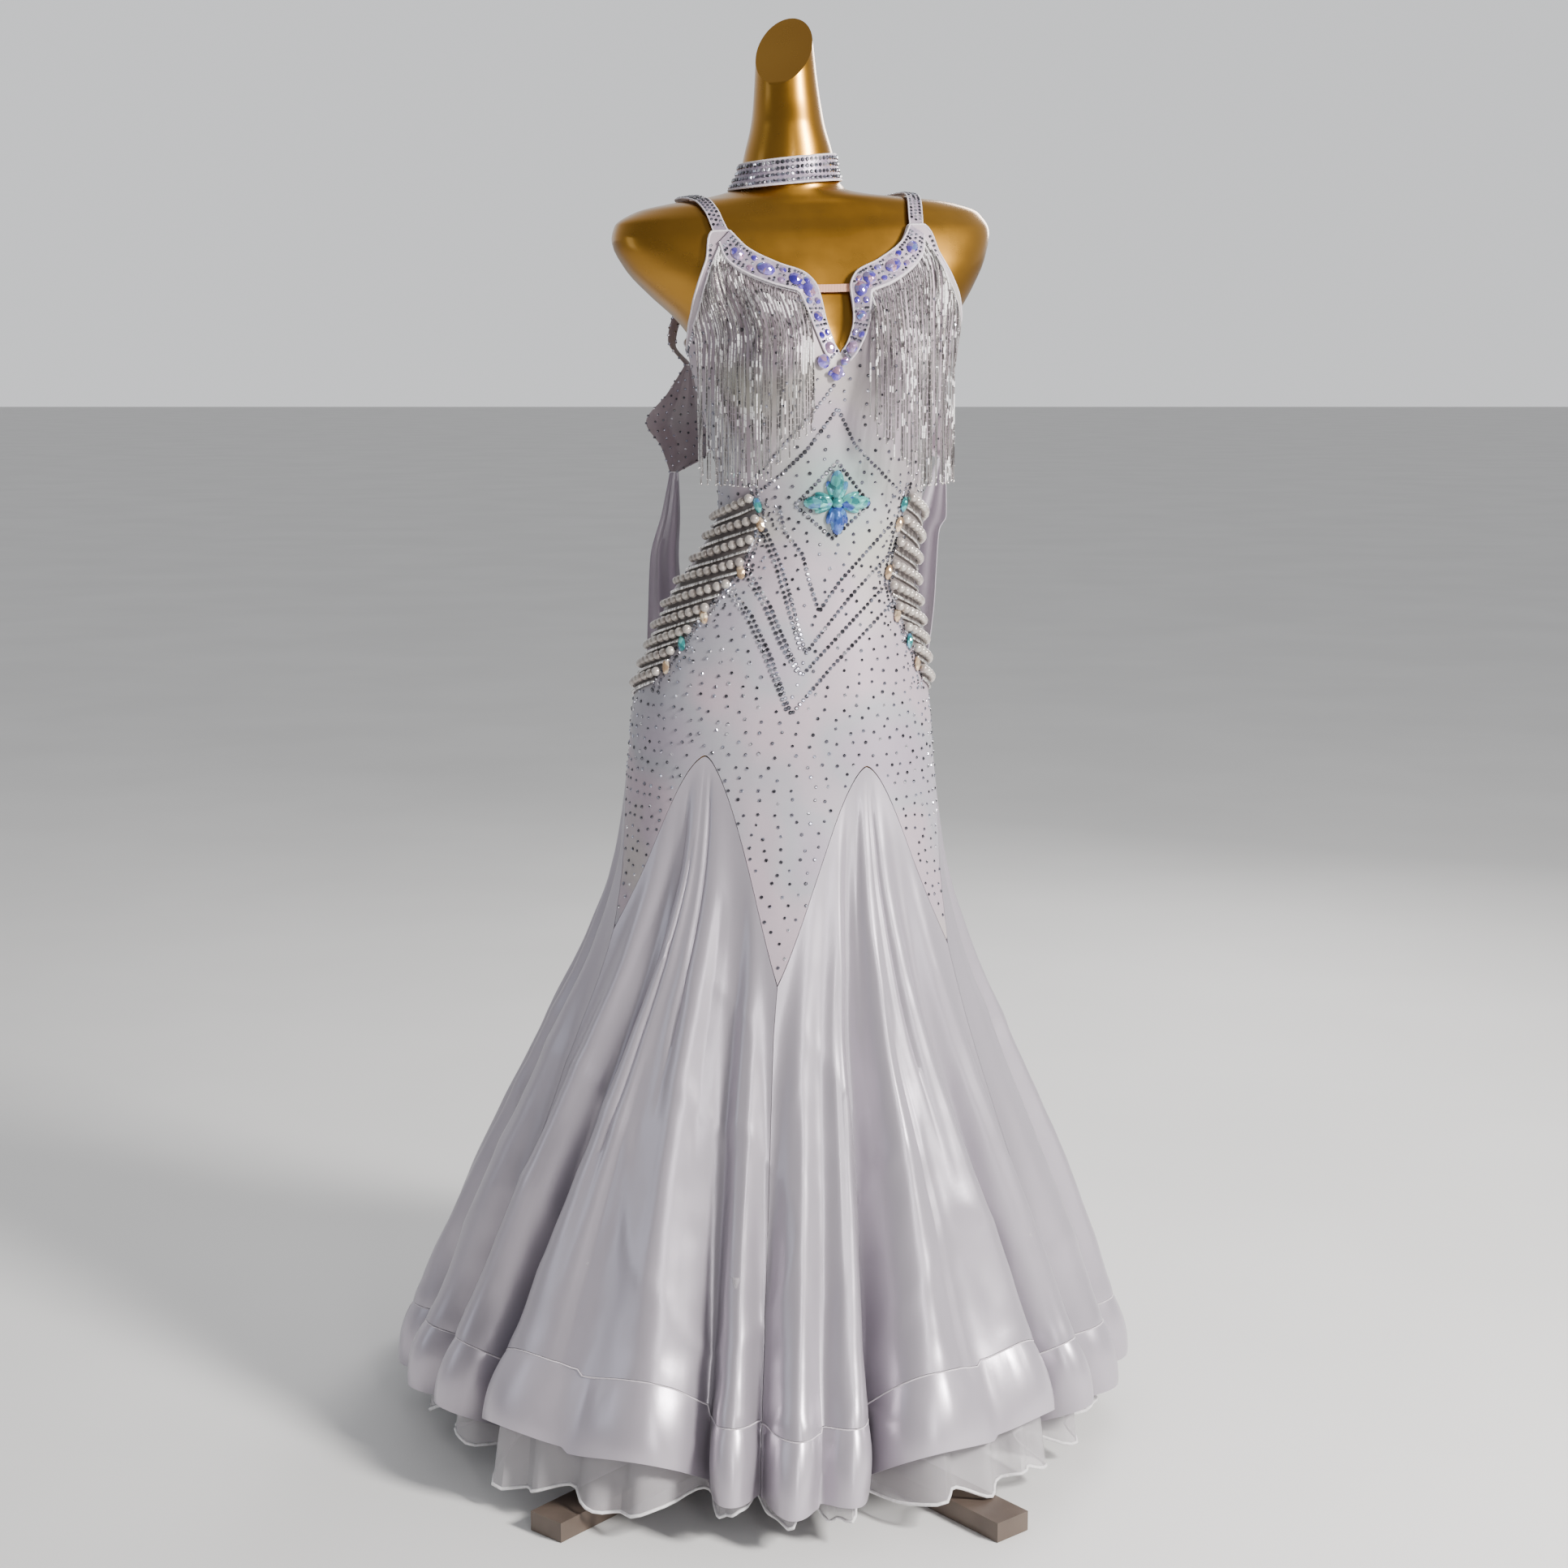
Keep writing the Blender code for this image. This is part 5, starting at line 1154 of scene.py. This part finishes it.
def make_v_gems():
    """The stones at the foot of the V: place, half length, half width and lean."""
    places = []
    for x, z, half_length, half_width, lean in (
        (0.0413, 1.2440, 0.0078, 0.0078, 0.2), (0.0590, 1.2330, 0.0085, 0.0064, 1.2),
        (0.0700, 1.2440, 0.0050, 0.0042, 0.8), (0.0500, 1.2330, 0.0028, 0.0028, 0.0),
        (0.0665, 1.2315, 0.0026, 0.0026, 0.0),
    ):
        angle = DRESS.angle_for_x(x, z)
        along = np.array([math.cos(lean), 0, math.sin(lean)])
        places.append((on_body(angle, z, 0.0042), DRESS.normal(angle, z), along, half_length, half_width))
    gems("v_gems", places, VIOLET)


def make_strap(side, word, tree):
    """A strap from the tab in front over the shoulder to the tab behind. It is sewn flat at both ends."""
    tab_across, tab_level = 0.109, SHOULDER_TAB + 0.001
    back_across, back_level = 0.080, BACK_TAB + 0.001
    front = DRESS.skin(DRESS.angle_at(side * tab_across, tab_level), tab_level, 0)
    back = DRESS.skin(back_angle(side * back_across, back_level), back_level, 0)
    thick, steps, columns = CLOTH * 1.2, 60, 7
    ways = np.linspace(0, 1, steps + 1)
    inner, outer = np.zeros((steps + 1, columns, 3)), np.zeros((steps + 1, columns, 3))

    def sewn(angle, level):
        return [DRESS.skin(angle, level, out) for out in (EASE, EASE + thick)]

    for k in range(columns):
        edge = -side * STRAP_WIDTH * (0.5 - k / (columns - 1))
        kept = [(0.0, *sewn(DRESS.angle_at(side * tab_across + edge, tab_level), tab_level))]
        for t in ways[1:-1]:
            rise = max(0.0, 1 - t * 5, 1 - (1 - t) * 5)
            clear = STRAP_CLEAR + (EASE - STRAP_CLEAR) * rise
            bow = side * STRAP_BOW[side] * math.sin(math.pi * t)
            x, y, _ = front * (1 - t) + back * t + [bow + edge, 0, 0]
            hit, normal, _, _ = tree.ray_cast(Vector((x, y, NECK_CUT)), Vector((0, 0, -1)))
            # A ray that passes beside the shoulder finds the hip. Its place is filled in from the others.
            lowest = (tab_level if t < 0.5 else back_level) + 0.004
            if hit and hit.z > lowest:
                kept.append((t, *(np.array(hit + normal * out) for out in (clear, clear + thick))))
        kept.append((1.0, *sewn(back_angle(side * back_across + edge, back_level), back_level)))
        at = [row[0] for row in kept]
        for axis in range(3):
            inner[:, k, axis] = np.interp(ways, at, [row[1][axis] for row in kept])
            outer[:, k, axis] = np.interp(ways, at, [row[2][axis] for row in kept])
    obj = wall(f"strap_{word}_cloth", inner, outer, JEWELLED, [f"strap_{word}"])

    along = np.gradient(outer, axis=0)
    outs = unit(np.cross(along, np.gradient(outer, axis=1)))
    outs *= np.sign((outs * (outer - inner)).sum(axis=2, keepdims=True))
    places = []
    for column in (1, 3, 5):
        lengths = run_lengths(outer[:, column])
        for at in np.arange(0.002, lengths[-1], 0.0043):
            i = min(int(np.searchsorted(lengths, at)), steps)
            places.append((outer[i, column], outs[i, column], unit(along[i, column]), 0.0018, 0.0018))
    stones(f"strap_stones_{word}", places)
    for column, edge in ((0, "inner"), (columns - 1, "outer")):
        path = inner[:, column] * 0.4 + outer[:, column] * 0.6
        tube(f"strap_piping_{word}_{edge}", path, 0.0010, PIPING, sides=6)


def make_choker():
    """The band round the neck, higher on the right, which spreads out below the neck's base."""
    around, rows = 160, 9
    middle, half_height, tilt, neck_base = 1.448, 0.0135, 0.006, 1.4445
    angle = 2 * math.pi * np.arange(around) / around
    drop = np.linspace(-half_height, half_height, rows)[:, None]
    level = middle + tilt * np.sin(angle)[None] + drop
    spread = 0.0016 + 0.6 * np.maximum(0.0, neck_base - level)
    seat = np.maximum(level, neck_base)
    turned = np.broadcast_to(angle, level.shape)
    inner, outer = FORM.skin(turned, seat, spread), FORM.skin(turned, seat, spread + BAND_THICK)
    inner[..., 2] = outer[..., 2] = level
    obj = wall("choker_cloth", inner, outer, JEWELLED, ["choker"], ring=True)
    outs = FORM.normal(turned, seat)
    places = []
    for row in (1, 3, 5, 7):
        for p in resampled(np.concatenate([outer[row], outer[row, :1]]), 0.0054)[:-1]:
            i = int(np.argmin(np.linalg.norm(outer[row] - p, axis=1)))
            places.append((p, outs[row, i] * [1, 1, 0.3], np.array([0, 0, 1.0]), 0.0025, 0.0025))
    stones("choker_stones", places)
    for row, edge in ((0, "lower"), (rows - 1, "upper")):
        path = inner[row] * 0.35 + outer[row] * 0.65
        tube(f"choker_piping_{edge}", path, 0.0012, PIPING, closed=True)


def make_bridge():
    """The nude elastic, stretched across the V."""
    middle, height = 1.3195, 0.008
    rows, columns = 5, 41
    inner, outer = np.zeros((rows, columns, 3)), np.zeros((rows, columns, 3))
    for r, level in enumerate(np.linspace(middle - height / 2, middle + height / 2, rows)):
        at = np.interp(level, [row.level for row in NECKLINE], NECKLINE_LENGTHS)
        reach = float(NECKLINE_ACROSS(at)) + 0.002
        for c, share in enumerate(np.linspace(-1, 1, columns)):
            angle = DRESS.angle_at(reach * share, level)
            taut = 0.0006 * (1 - share**2)
            inner[r, c] = DRESS.skin(angle, level, EASE - 0.0006 - taut)
            outer[r, c] = DRESS.skin(angle, level, EASE + 0.0006 - taut)
    wall("bridge_elastic_band", inner, outer, ELASTIC, ["bridge_elastic"])


# Fringe, pearls, brooch, floats

FRINGE_FROM, FRINGE_TO, FRINGE_TURN = 0.30, 0.975, 0.66
FRINGE_HANG = (0.036, 0.104, 0.1385)
FRINGE_OVER = 1.250
FRINGE_STRANDS = 54
FRINGE_LOW = 1.113
GLINT_FROM = 0.42  # beads are painted near-white as glints where the noise is above this
FRINGE_LINE = [neck_band_place(FRINGE_FROM + (FRINGE_TO - FRINGE_FROM) * i / 16, 1.0) for i in range(17)]
FRINGE_LENGTHS = run_lengths(FRINGE_LINE)
FRINGE_LAST = (0.1425, 1.288)  # across and level where the last strand starts, on the armhole


def fringe_root(share):
    """Where a strand starts: under the neck band, or from its end down the armhole."""
    below = 0.0018
    if share < FRINGE_TURN:
        at = FRINGE_LENGTHS[-1] * share / FRINGE_TURN
        across, level = (float(np.interp(at, FRINGE_LENGTHS, line)) for line in zip(*FRINGE_LINE))
        return across + below * 0.5, level - below
    down = (share - FRINGE_TURN) / (1 - FRINGE_TURN)
    across, level = neck_band_place(FRINGE_TO, 1.0)
    end_across, end_level = FRINGE_LAST
    bulge = 0.0035 * math.sin(math.pi * down)
    return (
        across + below * 0.5 + (end_across - across) * down + bulge,
        level - below + (end_level - level) * down + bulge / 2,
    )


def fringe_path(side, i):
    """A strand's path over the cup and then straight down."""
    share = (i + 0.5) / FRINGE_STRANDS
    across, level = fringe_root(share)
    root_angle = float(DRESS.angle_at(across, level))
    hang = float(np.interp(share, (0, FRINGE_TURN, 1), FRINGE_HANG)) + random.uniform(-0.0022, 0.0022)
    hang_angle = float(DRESS.angle_at(hang, FRINGE_OVER))
    over = FRINGE_OVER - 0.012 * share
    end = 1.190 - 0.075 * min(1.0, share / 0.45) + 0.006 * math.sin(i * 2.4) + random.uniform(-0.010, 0.014)
    lift = random.uniform(0.0014, 0.0042)
    path = []
    for way in np.linspace(0, 1, 14):
        angle = side * (root_angle + (hang_angle - root_angle) * way**0.8)
        rise = LIE + 0.001 + lift * min(1, way * 5)
        path.append(on_body(angle, level + (over - level) * way, rise))
    bend = path[-1]
    sway = random.uniform(-0.0015, 0.0015)
    path.append([bend[0] + sway, bend[1] - abs(sway) * 0.3, max(end, FRINGE_LOW)])
    return path


def make_fringe(side, word):
    """Strands of bugle beads with painted reflection streaks, some beads painted near-white as glints, each
    strand with a round bead at its end.
    """
    radius, bead, gap, sides = 0.00078, 0.0062, 0.0007, 6
    turns = np.linspace(0, 2 * math.pi, sides, endpoint=False)
    beads = {False: [], True: []}
    tips = []
    for i in range(FRINGE_STRANDS):
        even = resampled(fringe_path(side, i), bead + gap)
        for a, b in zip(even[:-1], even[1:]):
            way = unit(b - a)
            glints = noise.noise(Vector(a * [60, 60, 34])) + 0.25 * random.normal()
            over_way = unit(np.cross(way, [0.2, 0.9, 0.1]))
            out_way = np.cross(way, over_way)
            for end in (a, b - way * gap):
                for t in turns:
                    place = end + radius * (over_way * math.cos(t) + out_way * math.sin(t))
                    beads[bool(glints > GLINT_FROM)].append(place)
        tips.append((even[-1] - [0, 0, 0.0008], 0.0014))
    # The beads painted near-white as glints go into a mesh of their own.
    for clear, kind, paint, nodes in (
        (False, "beads", BEADS, [f"fringe_{word}"]), (True, "painted_glint_beads", GLINT_BEADS, []),
    ):
        faces = repeated(stack_faces(2, sides), 2 * sides, len(beads[clear]) // (2 * sides))
        piece(f"fringe_{word}_{kind}", beads[clear], faces, paint, nodes, sharp=40)
    balls(f"fringe_{word}_tips", tips, BEADS, around=8, rings=5)
    tape = []
    for share in np.linspace(0.0, 1.0, 60):
        across, level = fringe_root(share)
        tape.append(front_place(side, across, level + 0.0012, LIE + 0.0008)[0])
    tube(f"fringe_tape_{word}", tape, 0.0012, PIPING, sides=6)


def pearl_run(side, level, along):
    """Angles and levels along a string of pearls that starts on the jewelled edge at a level."""
    start = float(DRESS.angle_at(PEARL_ACROSS(level), level))
    angle = side * (start + math.radians(PEARL_SWEEP) * along)
    return angle, level - PEARL_FALL * along * (1 - 0.25 * along)


def make_pearls(side, word):
    """Strings of pearls that run from a jewelled edge back round the hip, with seed beads between them."""
    top, bottom = PEARL_FRONT[0].level, PEARL_FRONT[-1].level
    places, seeds = [], []
    for i in range(PEARL_STRINGS):
        share = (i + 0.5) / PEARL_STRINGS
        angle, height = pearl_run(side, top + (bottom - top) * share, np.linspace(0, 1, 120))
        path, outs = on_body(angle, height, 0.0), DRESS.normal(angle, height)
        lengths = run_lengths(path)
        at, radius = 0.004, 0.0051
        while at < lengths[-1]:
            k = int(np.searchsorted(lengths, at))
            places.append((path[k] + outs[k] * (radius + LIE), radius))
            radius = max(0.0032, radius * 0.985)
            at += radius * 2.06
        for past, higher in ((0.93, 0.0), (1.0, 0.0018)):
            level = top + (bottom - top) * ((i + past) / PEARL_STRINGS) + higher - 0.0005
            if level >= bottom:
                angle, height = pearl_run(side, level, np.linspace(0.03, 0.98, 60))
                seeds += [(at, 0.0021) for at in on_body(angle, height, 0.0019 + LIE / 2)]
    balls(f"pearls_{word}_strings", places, PEARL, [f"pearls_{word}"])
    balls(f"pearls_{word}_seed_beads", seeds, BEADS, around=6, rings=4)

    small = []
    for offset, radius in ((-0.0035, 0.0021), (0.0015, 0.0024)):
        for z in np.arange(top, bottom - 0.012, -0.0044):
            across = float(PEARL_ACROSS(z)) + offset + random.uniform(-0.0006, 0.0006)
            small.append(stone(side * float(DRESS.angle_at(across, z)), z, radius, random.uniform(0, 3)))
    for _ in range(46):
        z = random.uniform(bottom - 0.01, top)
        across = float(PEARL_ACROSS(z)) - 0.008 - 0.010 * random.random() ** 2
        small.append(stone(side * float(DRESS.angle_at(across, z)), z, random.uniform(0.0012, 0.0018)))
    stones(f"pearl_edge_stones_{word}", small)
    for name, paint, shares in (
        ("pearl_drops", CHAMPAGNE, (0.20, 0.44, 0.66, 0.92)), ("pearl_blue_drops", AQUA, (0.10, 0.80)),
    ):
        drops = []
        for share in shares:
            z = top + (bottom - top) * share
            at, out = front_place(side, float(PEARL_ACROSS(z)) - 0.001, z, 0.0018)
            drops.append((at, out, np.array([0.35 * side, 0, 1.0]), 0.0085, 0.0048))
        gems(f"{name}_{word}", drops, paint)


def make_brooch():
    """Four petals of long stones round a middle one, in a ring of small stones."""

    def place(x, z, out_by):
        angle = DRESS.angle_for_x(x, z)
        return on_body(angle, z, out_by), DRESS.normal(angle, z)

    petals, lower, small = [], [], []
    for tip in range(4):
        turn = math.pi / 2 * tip
        for spread, reach, half_length, half_width, lift in (
            (0.0, 0.0195, 0.0160, 0.0078, 0.0030), (0.42, 0.0150, 0.0105, 0.0042, 0.0016),
            (-0.42, 0.0150, 0.0105, 0.0042, 0.0016),
        ):
            way = np.array([math.sin(turn + spread), 0.0, math.cos(turn + spread)])
            at, out = place(BROOCH_X + way[0] * reach, BROOCH_LEVEL + way[2] * reach, lift)
            (lower if tip == 2 else petals).append((at, out, way, half_length, half_width))
        for k in range(1, 9):
            reach = 0.0150 + 0.0024 * k
            for side in (-1, 1):
                way = turn + side * 0.36 * (1 - (k / 9.0)) + side * 0.06
                x, z = BROOCH_X + math.sin(way) * reach, BROOCH_LEVEL + math.cos(way) * reach
                at, out = place(x, z, 0.0002)
                small.append((at, out, np.array([1.0, 0, 0.3]), 0.0014, 0.0014))
    gems("brooch_petals", petals, AQUA, 14, ["waist_jewel"])
    gems("brooch_lower_petals", lower, BLUE, 14)
    at, out = place(BROOCH_X, BROOCH_LEVEL, 0.0040)
    gems("brooch_middle", [(at, out, np.array([1.0, 0, 0]), 0.0062, 0.0062)], AQUA, 14)
    stones("brooch_stones", small)


def float_grid(rows, top=None, tack=None, fine=9, folds=0.0):
    """A smooth strip through the rows, from the bottom up. top and tack are where it meets the body's back,
    from its outer edge to its inner one."""
    share = np.linspace(0, 1, fine)[:, None]
    grid = []
    for row in rows:
        outer_edge, inner_edge = np.array(row[:3]), np.array(row[3:])
        bow = np.linalg.norm(outer_edge - inner_edge) * 0.12
        strip = outer_edge * (1 - share) + inner_edge * share
        strip[:, 1] += bow * 4 * share[:, 0] * (1 - share[:, 0])
        grid.append(strip)
    if top:
        across = np.linspace(*top, fine)
        grid.insert(0, on_body(back_angle(across, FLOAT_TOP), np.full(fine, FLOAT_TOP), 0.0014))
    if tack:
        across = np.linspace(*tack, fine)
        grid.append(on_body(back_angle(across, FLOAT_TACK), np.full(fine, FLOAT_TACK), 0.0021))
    grid = np.array(grid)[::-1]
    even = np.linspace(0, len(grid) - 1, FLOAT_STEPS)
    smooth = np.zeros((FLOAT_STEPS, fine, 3))
    for c in range(fine):
        for k in range(3):
            smooth[:, c, k] = Curve(np.arange(len(grid)), grid[:, c, k])(even)
    if folds:
        fade = np.sin(math.pi * np.linspace(0, 1, FLOAT_STEPS)) ** 0.5
        wave = np.sin(share[:, 0] * math.pi * 4 + 0.4) * folds
        smooth += grid_normals(smooth) * (fade[:, None] * wave[None])[..., None]
    return smooth


def make_float(node, rows, material, slot, rests_on, stones_apart=0.0, shade=0.0, **words):
    """A strip of a float, with stones on both of its faces where they have a distance."""
    grid = float_grid(rows, **words)
    half = grid_normals(grid) * FLOAT_WALL * 0.4
    obj = wall(f"{node}_cloth", grid - half, grid + half, material, [node])
    # Painted shade, even over the whole strip.
    set_values(obj, "painted_shade", np.full(len(obj.data.vertices), shade))
    if not stones_apart:
        return
    places = []
    for face, out_half in ((grid - half, -half), (grid + half, half)):
        taken = []
        for p, out in zip(face.reshape(-1, 3), out_half.reshape(-1, 3)):
            if all(np.linalg.norm(p - q) > stones_apart for q in taken):
                taken.append(p)
                places.append((p, out, np.array([0.3, 0.2, 1.0]), 0.0015, 0.0015))
    stones(f"{node}_stones", places)


def make_floats(word, loop, cuff, streamer, top, tack, loop_shade, streamer_shade):
    back, loop_name = ["body_back_cloth"], f"float_loop_{word}"
    make_float(loop_name, loop, STRETCH, "stretch_cloth", back, 0.009, loop_shade, top=top)
    make_float(
        f"float_cuff_{word}", cuff, STRETCH, "stretch_cloth", [f"{loop_name}_cloth"], 0.0085, loop_shade,
        fine=17, folds=0.0016)
    make_float(
        f"float_streamer_{word}", streamer, SATIN, "satin", back,
        shade=streamer_shade, tack=tack, folds=0.0022)


# Stage, light and camera

FLOOR_HALF, FLOOR_LEVEL = 60.0, -0.0006
CAMERA_AT, CAMERA_DOWN, CAMERA_LENS = (0.005, -2.8, 1.25), 9.75, 57.2
# name, place, target, size, power and colour
LIGHTS = [
    ("key", (2.5, -1.9, 2.4), (0, 0, 0.85), (0.6, 0.8), 300, (1.0, 0.97, 0.93)),
    ("strip", (0.9, -3.3, 1.3), (0, 0, 0.7), (0.2, 1.8), 24, (1.0, 0.98, 0.97)),
    ("fill", (-2.8, -1.2, 1.5), (0, 0, 0.8), (0.9, 1.8), 7, (0.80, 0.90, 1.0)),
    ("rim", (1.2, 2.6, 2.2), (0, 0, 1.0), (1.0, 1.4), 60, (1.0, 0.98, 0.96)),
]


def area_light(name, place, target, size, power, colour):
    light = bpy.data.lights.new(name, "AREA")
    light.shape = "RECTANGLE"
    light.size, light.size_y = size
    light.energy = power
    light.color = colour
    obj = bpy.data.objects.new(name, light)
    obj.location = place
    obj.rotation_euler = (Vector(target) - Vector(place)).to_track_quat("-Z", "Y").to_euler()
    bpy.context.scene.collection.objects.link(obj)


def make_stage():
    """A pale floor, and a world that is brighter behind the dress than before it."""
    mesh = bpy.data.meshes.new("floor")
    corners = [(x * FLOOR_HALF, y * FLOOR_HALF, FLOOR_LEVEL) for x, y in ((-1, -1), (1, -1), (1, 1), (-1, 1))]
    mesh.from_pydata(corners, [], [(0, 1, 2, 3)])
    paint = Paint("pale_floor", (0.74, 0.735, 0.73), 0.75)
    paint.colour(paint.ramp(paint.noise(1.5, 3), [(0.35, (0.72, 0.715, 0.71)), (0.65, (0.76, 0.755, 0.75))]))
    mesh.materials.append(paint.material)
    floor = bpy.data.objects.new("floor", mesh)
    bpy.context.scene.collection.objects.link(floor)
    world = bpy.data.worlds.new("studio")
    world.use_nodes = True
    nodes, links = world.node_tree.nodes, world.node_tree.links
    background = nodes["Background"]
    background.inputs["Color"].default_value = (0.94, 0.95, 0.97, 1)
    towards = nodes.new("ShaderNodeSeparateXYZ")
    links.new(nodes.new("ShaderNodeTexCoord").outputs["Generated"], towards.inputs[0])
    brighter = nodes.new("ShaderNodeMapRange")
    brighter.interpolation_type = "SMOOTHSTEP"
    for socket, value in (("From Min", -0.5), ("From Max", 0.9), ("To Min", 0.26), ("To Max", 0.95)):
        brighter.inputs[socket].default_value = value
    links.new(towards.outputs["Y"], brighter.inputs["Value"])
    links.new(brighter.outputs["Result"], background.inputs["Strength"])
    bpy.context.scene.world = world
    for light in LIGHTS:
        area_light(*light)


def make_camera():
    camera = bpy.data.objects.new("camera", bpy.data.cameras.new("camera"))
    camera.location = CAMERA_AT
    camera.rotation_euler = (math.radians(90 - CAMERA_DOWN), 0, 0)
    camera.data.lens = CAMERA_LENS
    camera.data.sensor_width = 36
    bpy.context.scene.collection.objects.link(camera)
    bpy.context.scene.camera = camera


make_camera()
make_stage()
form_tree = make_form()
dress_stand()
make_body("body_front", 0, FRONT_EDGE)
make_body("body_back", 180, BACK_EDGE)
make_body_stones()
make_skirt()
make_flounces()
for side, word in ((-1, "left"), (1, "right")):
    make_neck_band(side, word)
    make_strap(side, word, form_tree)
    make_fringe(side, word)
    make_pearls(side, word)
make_v_gems()
make_choker()
make_bridge()
make_brooch()
# Painted shade: the left loop, cuff and streamer lie in shadow and are painted darker; the right ones are not.
make_floats("left", LOOP_LEFT, CUFF_LEFT, STREAMER_LEFT, (-0.094, -0.086), (-0.120, -0.075), 0.6, 0.45)
make_floats("right", LOOP_RIGHT, CUFF_RIGHT, STREAMER_RIGHT, (0.094, 0.086), (0.120, 0.075), 0.0, 0.0)
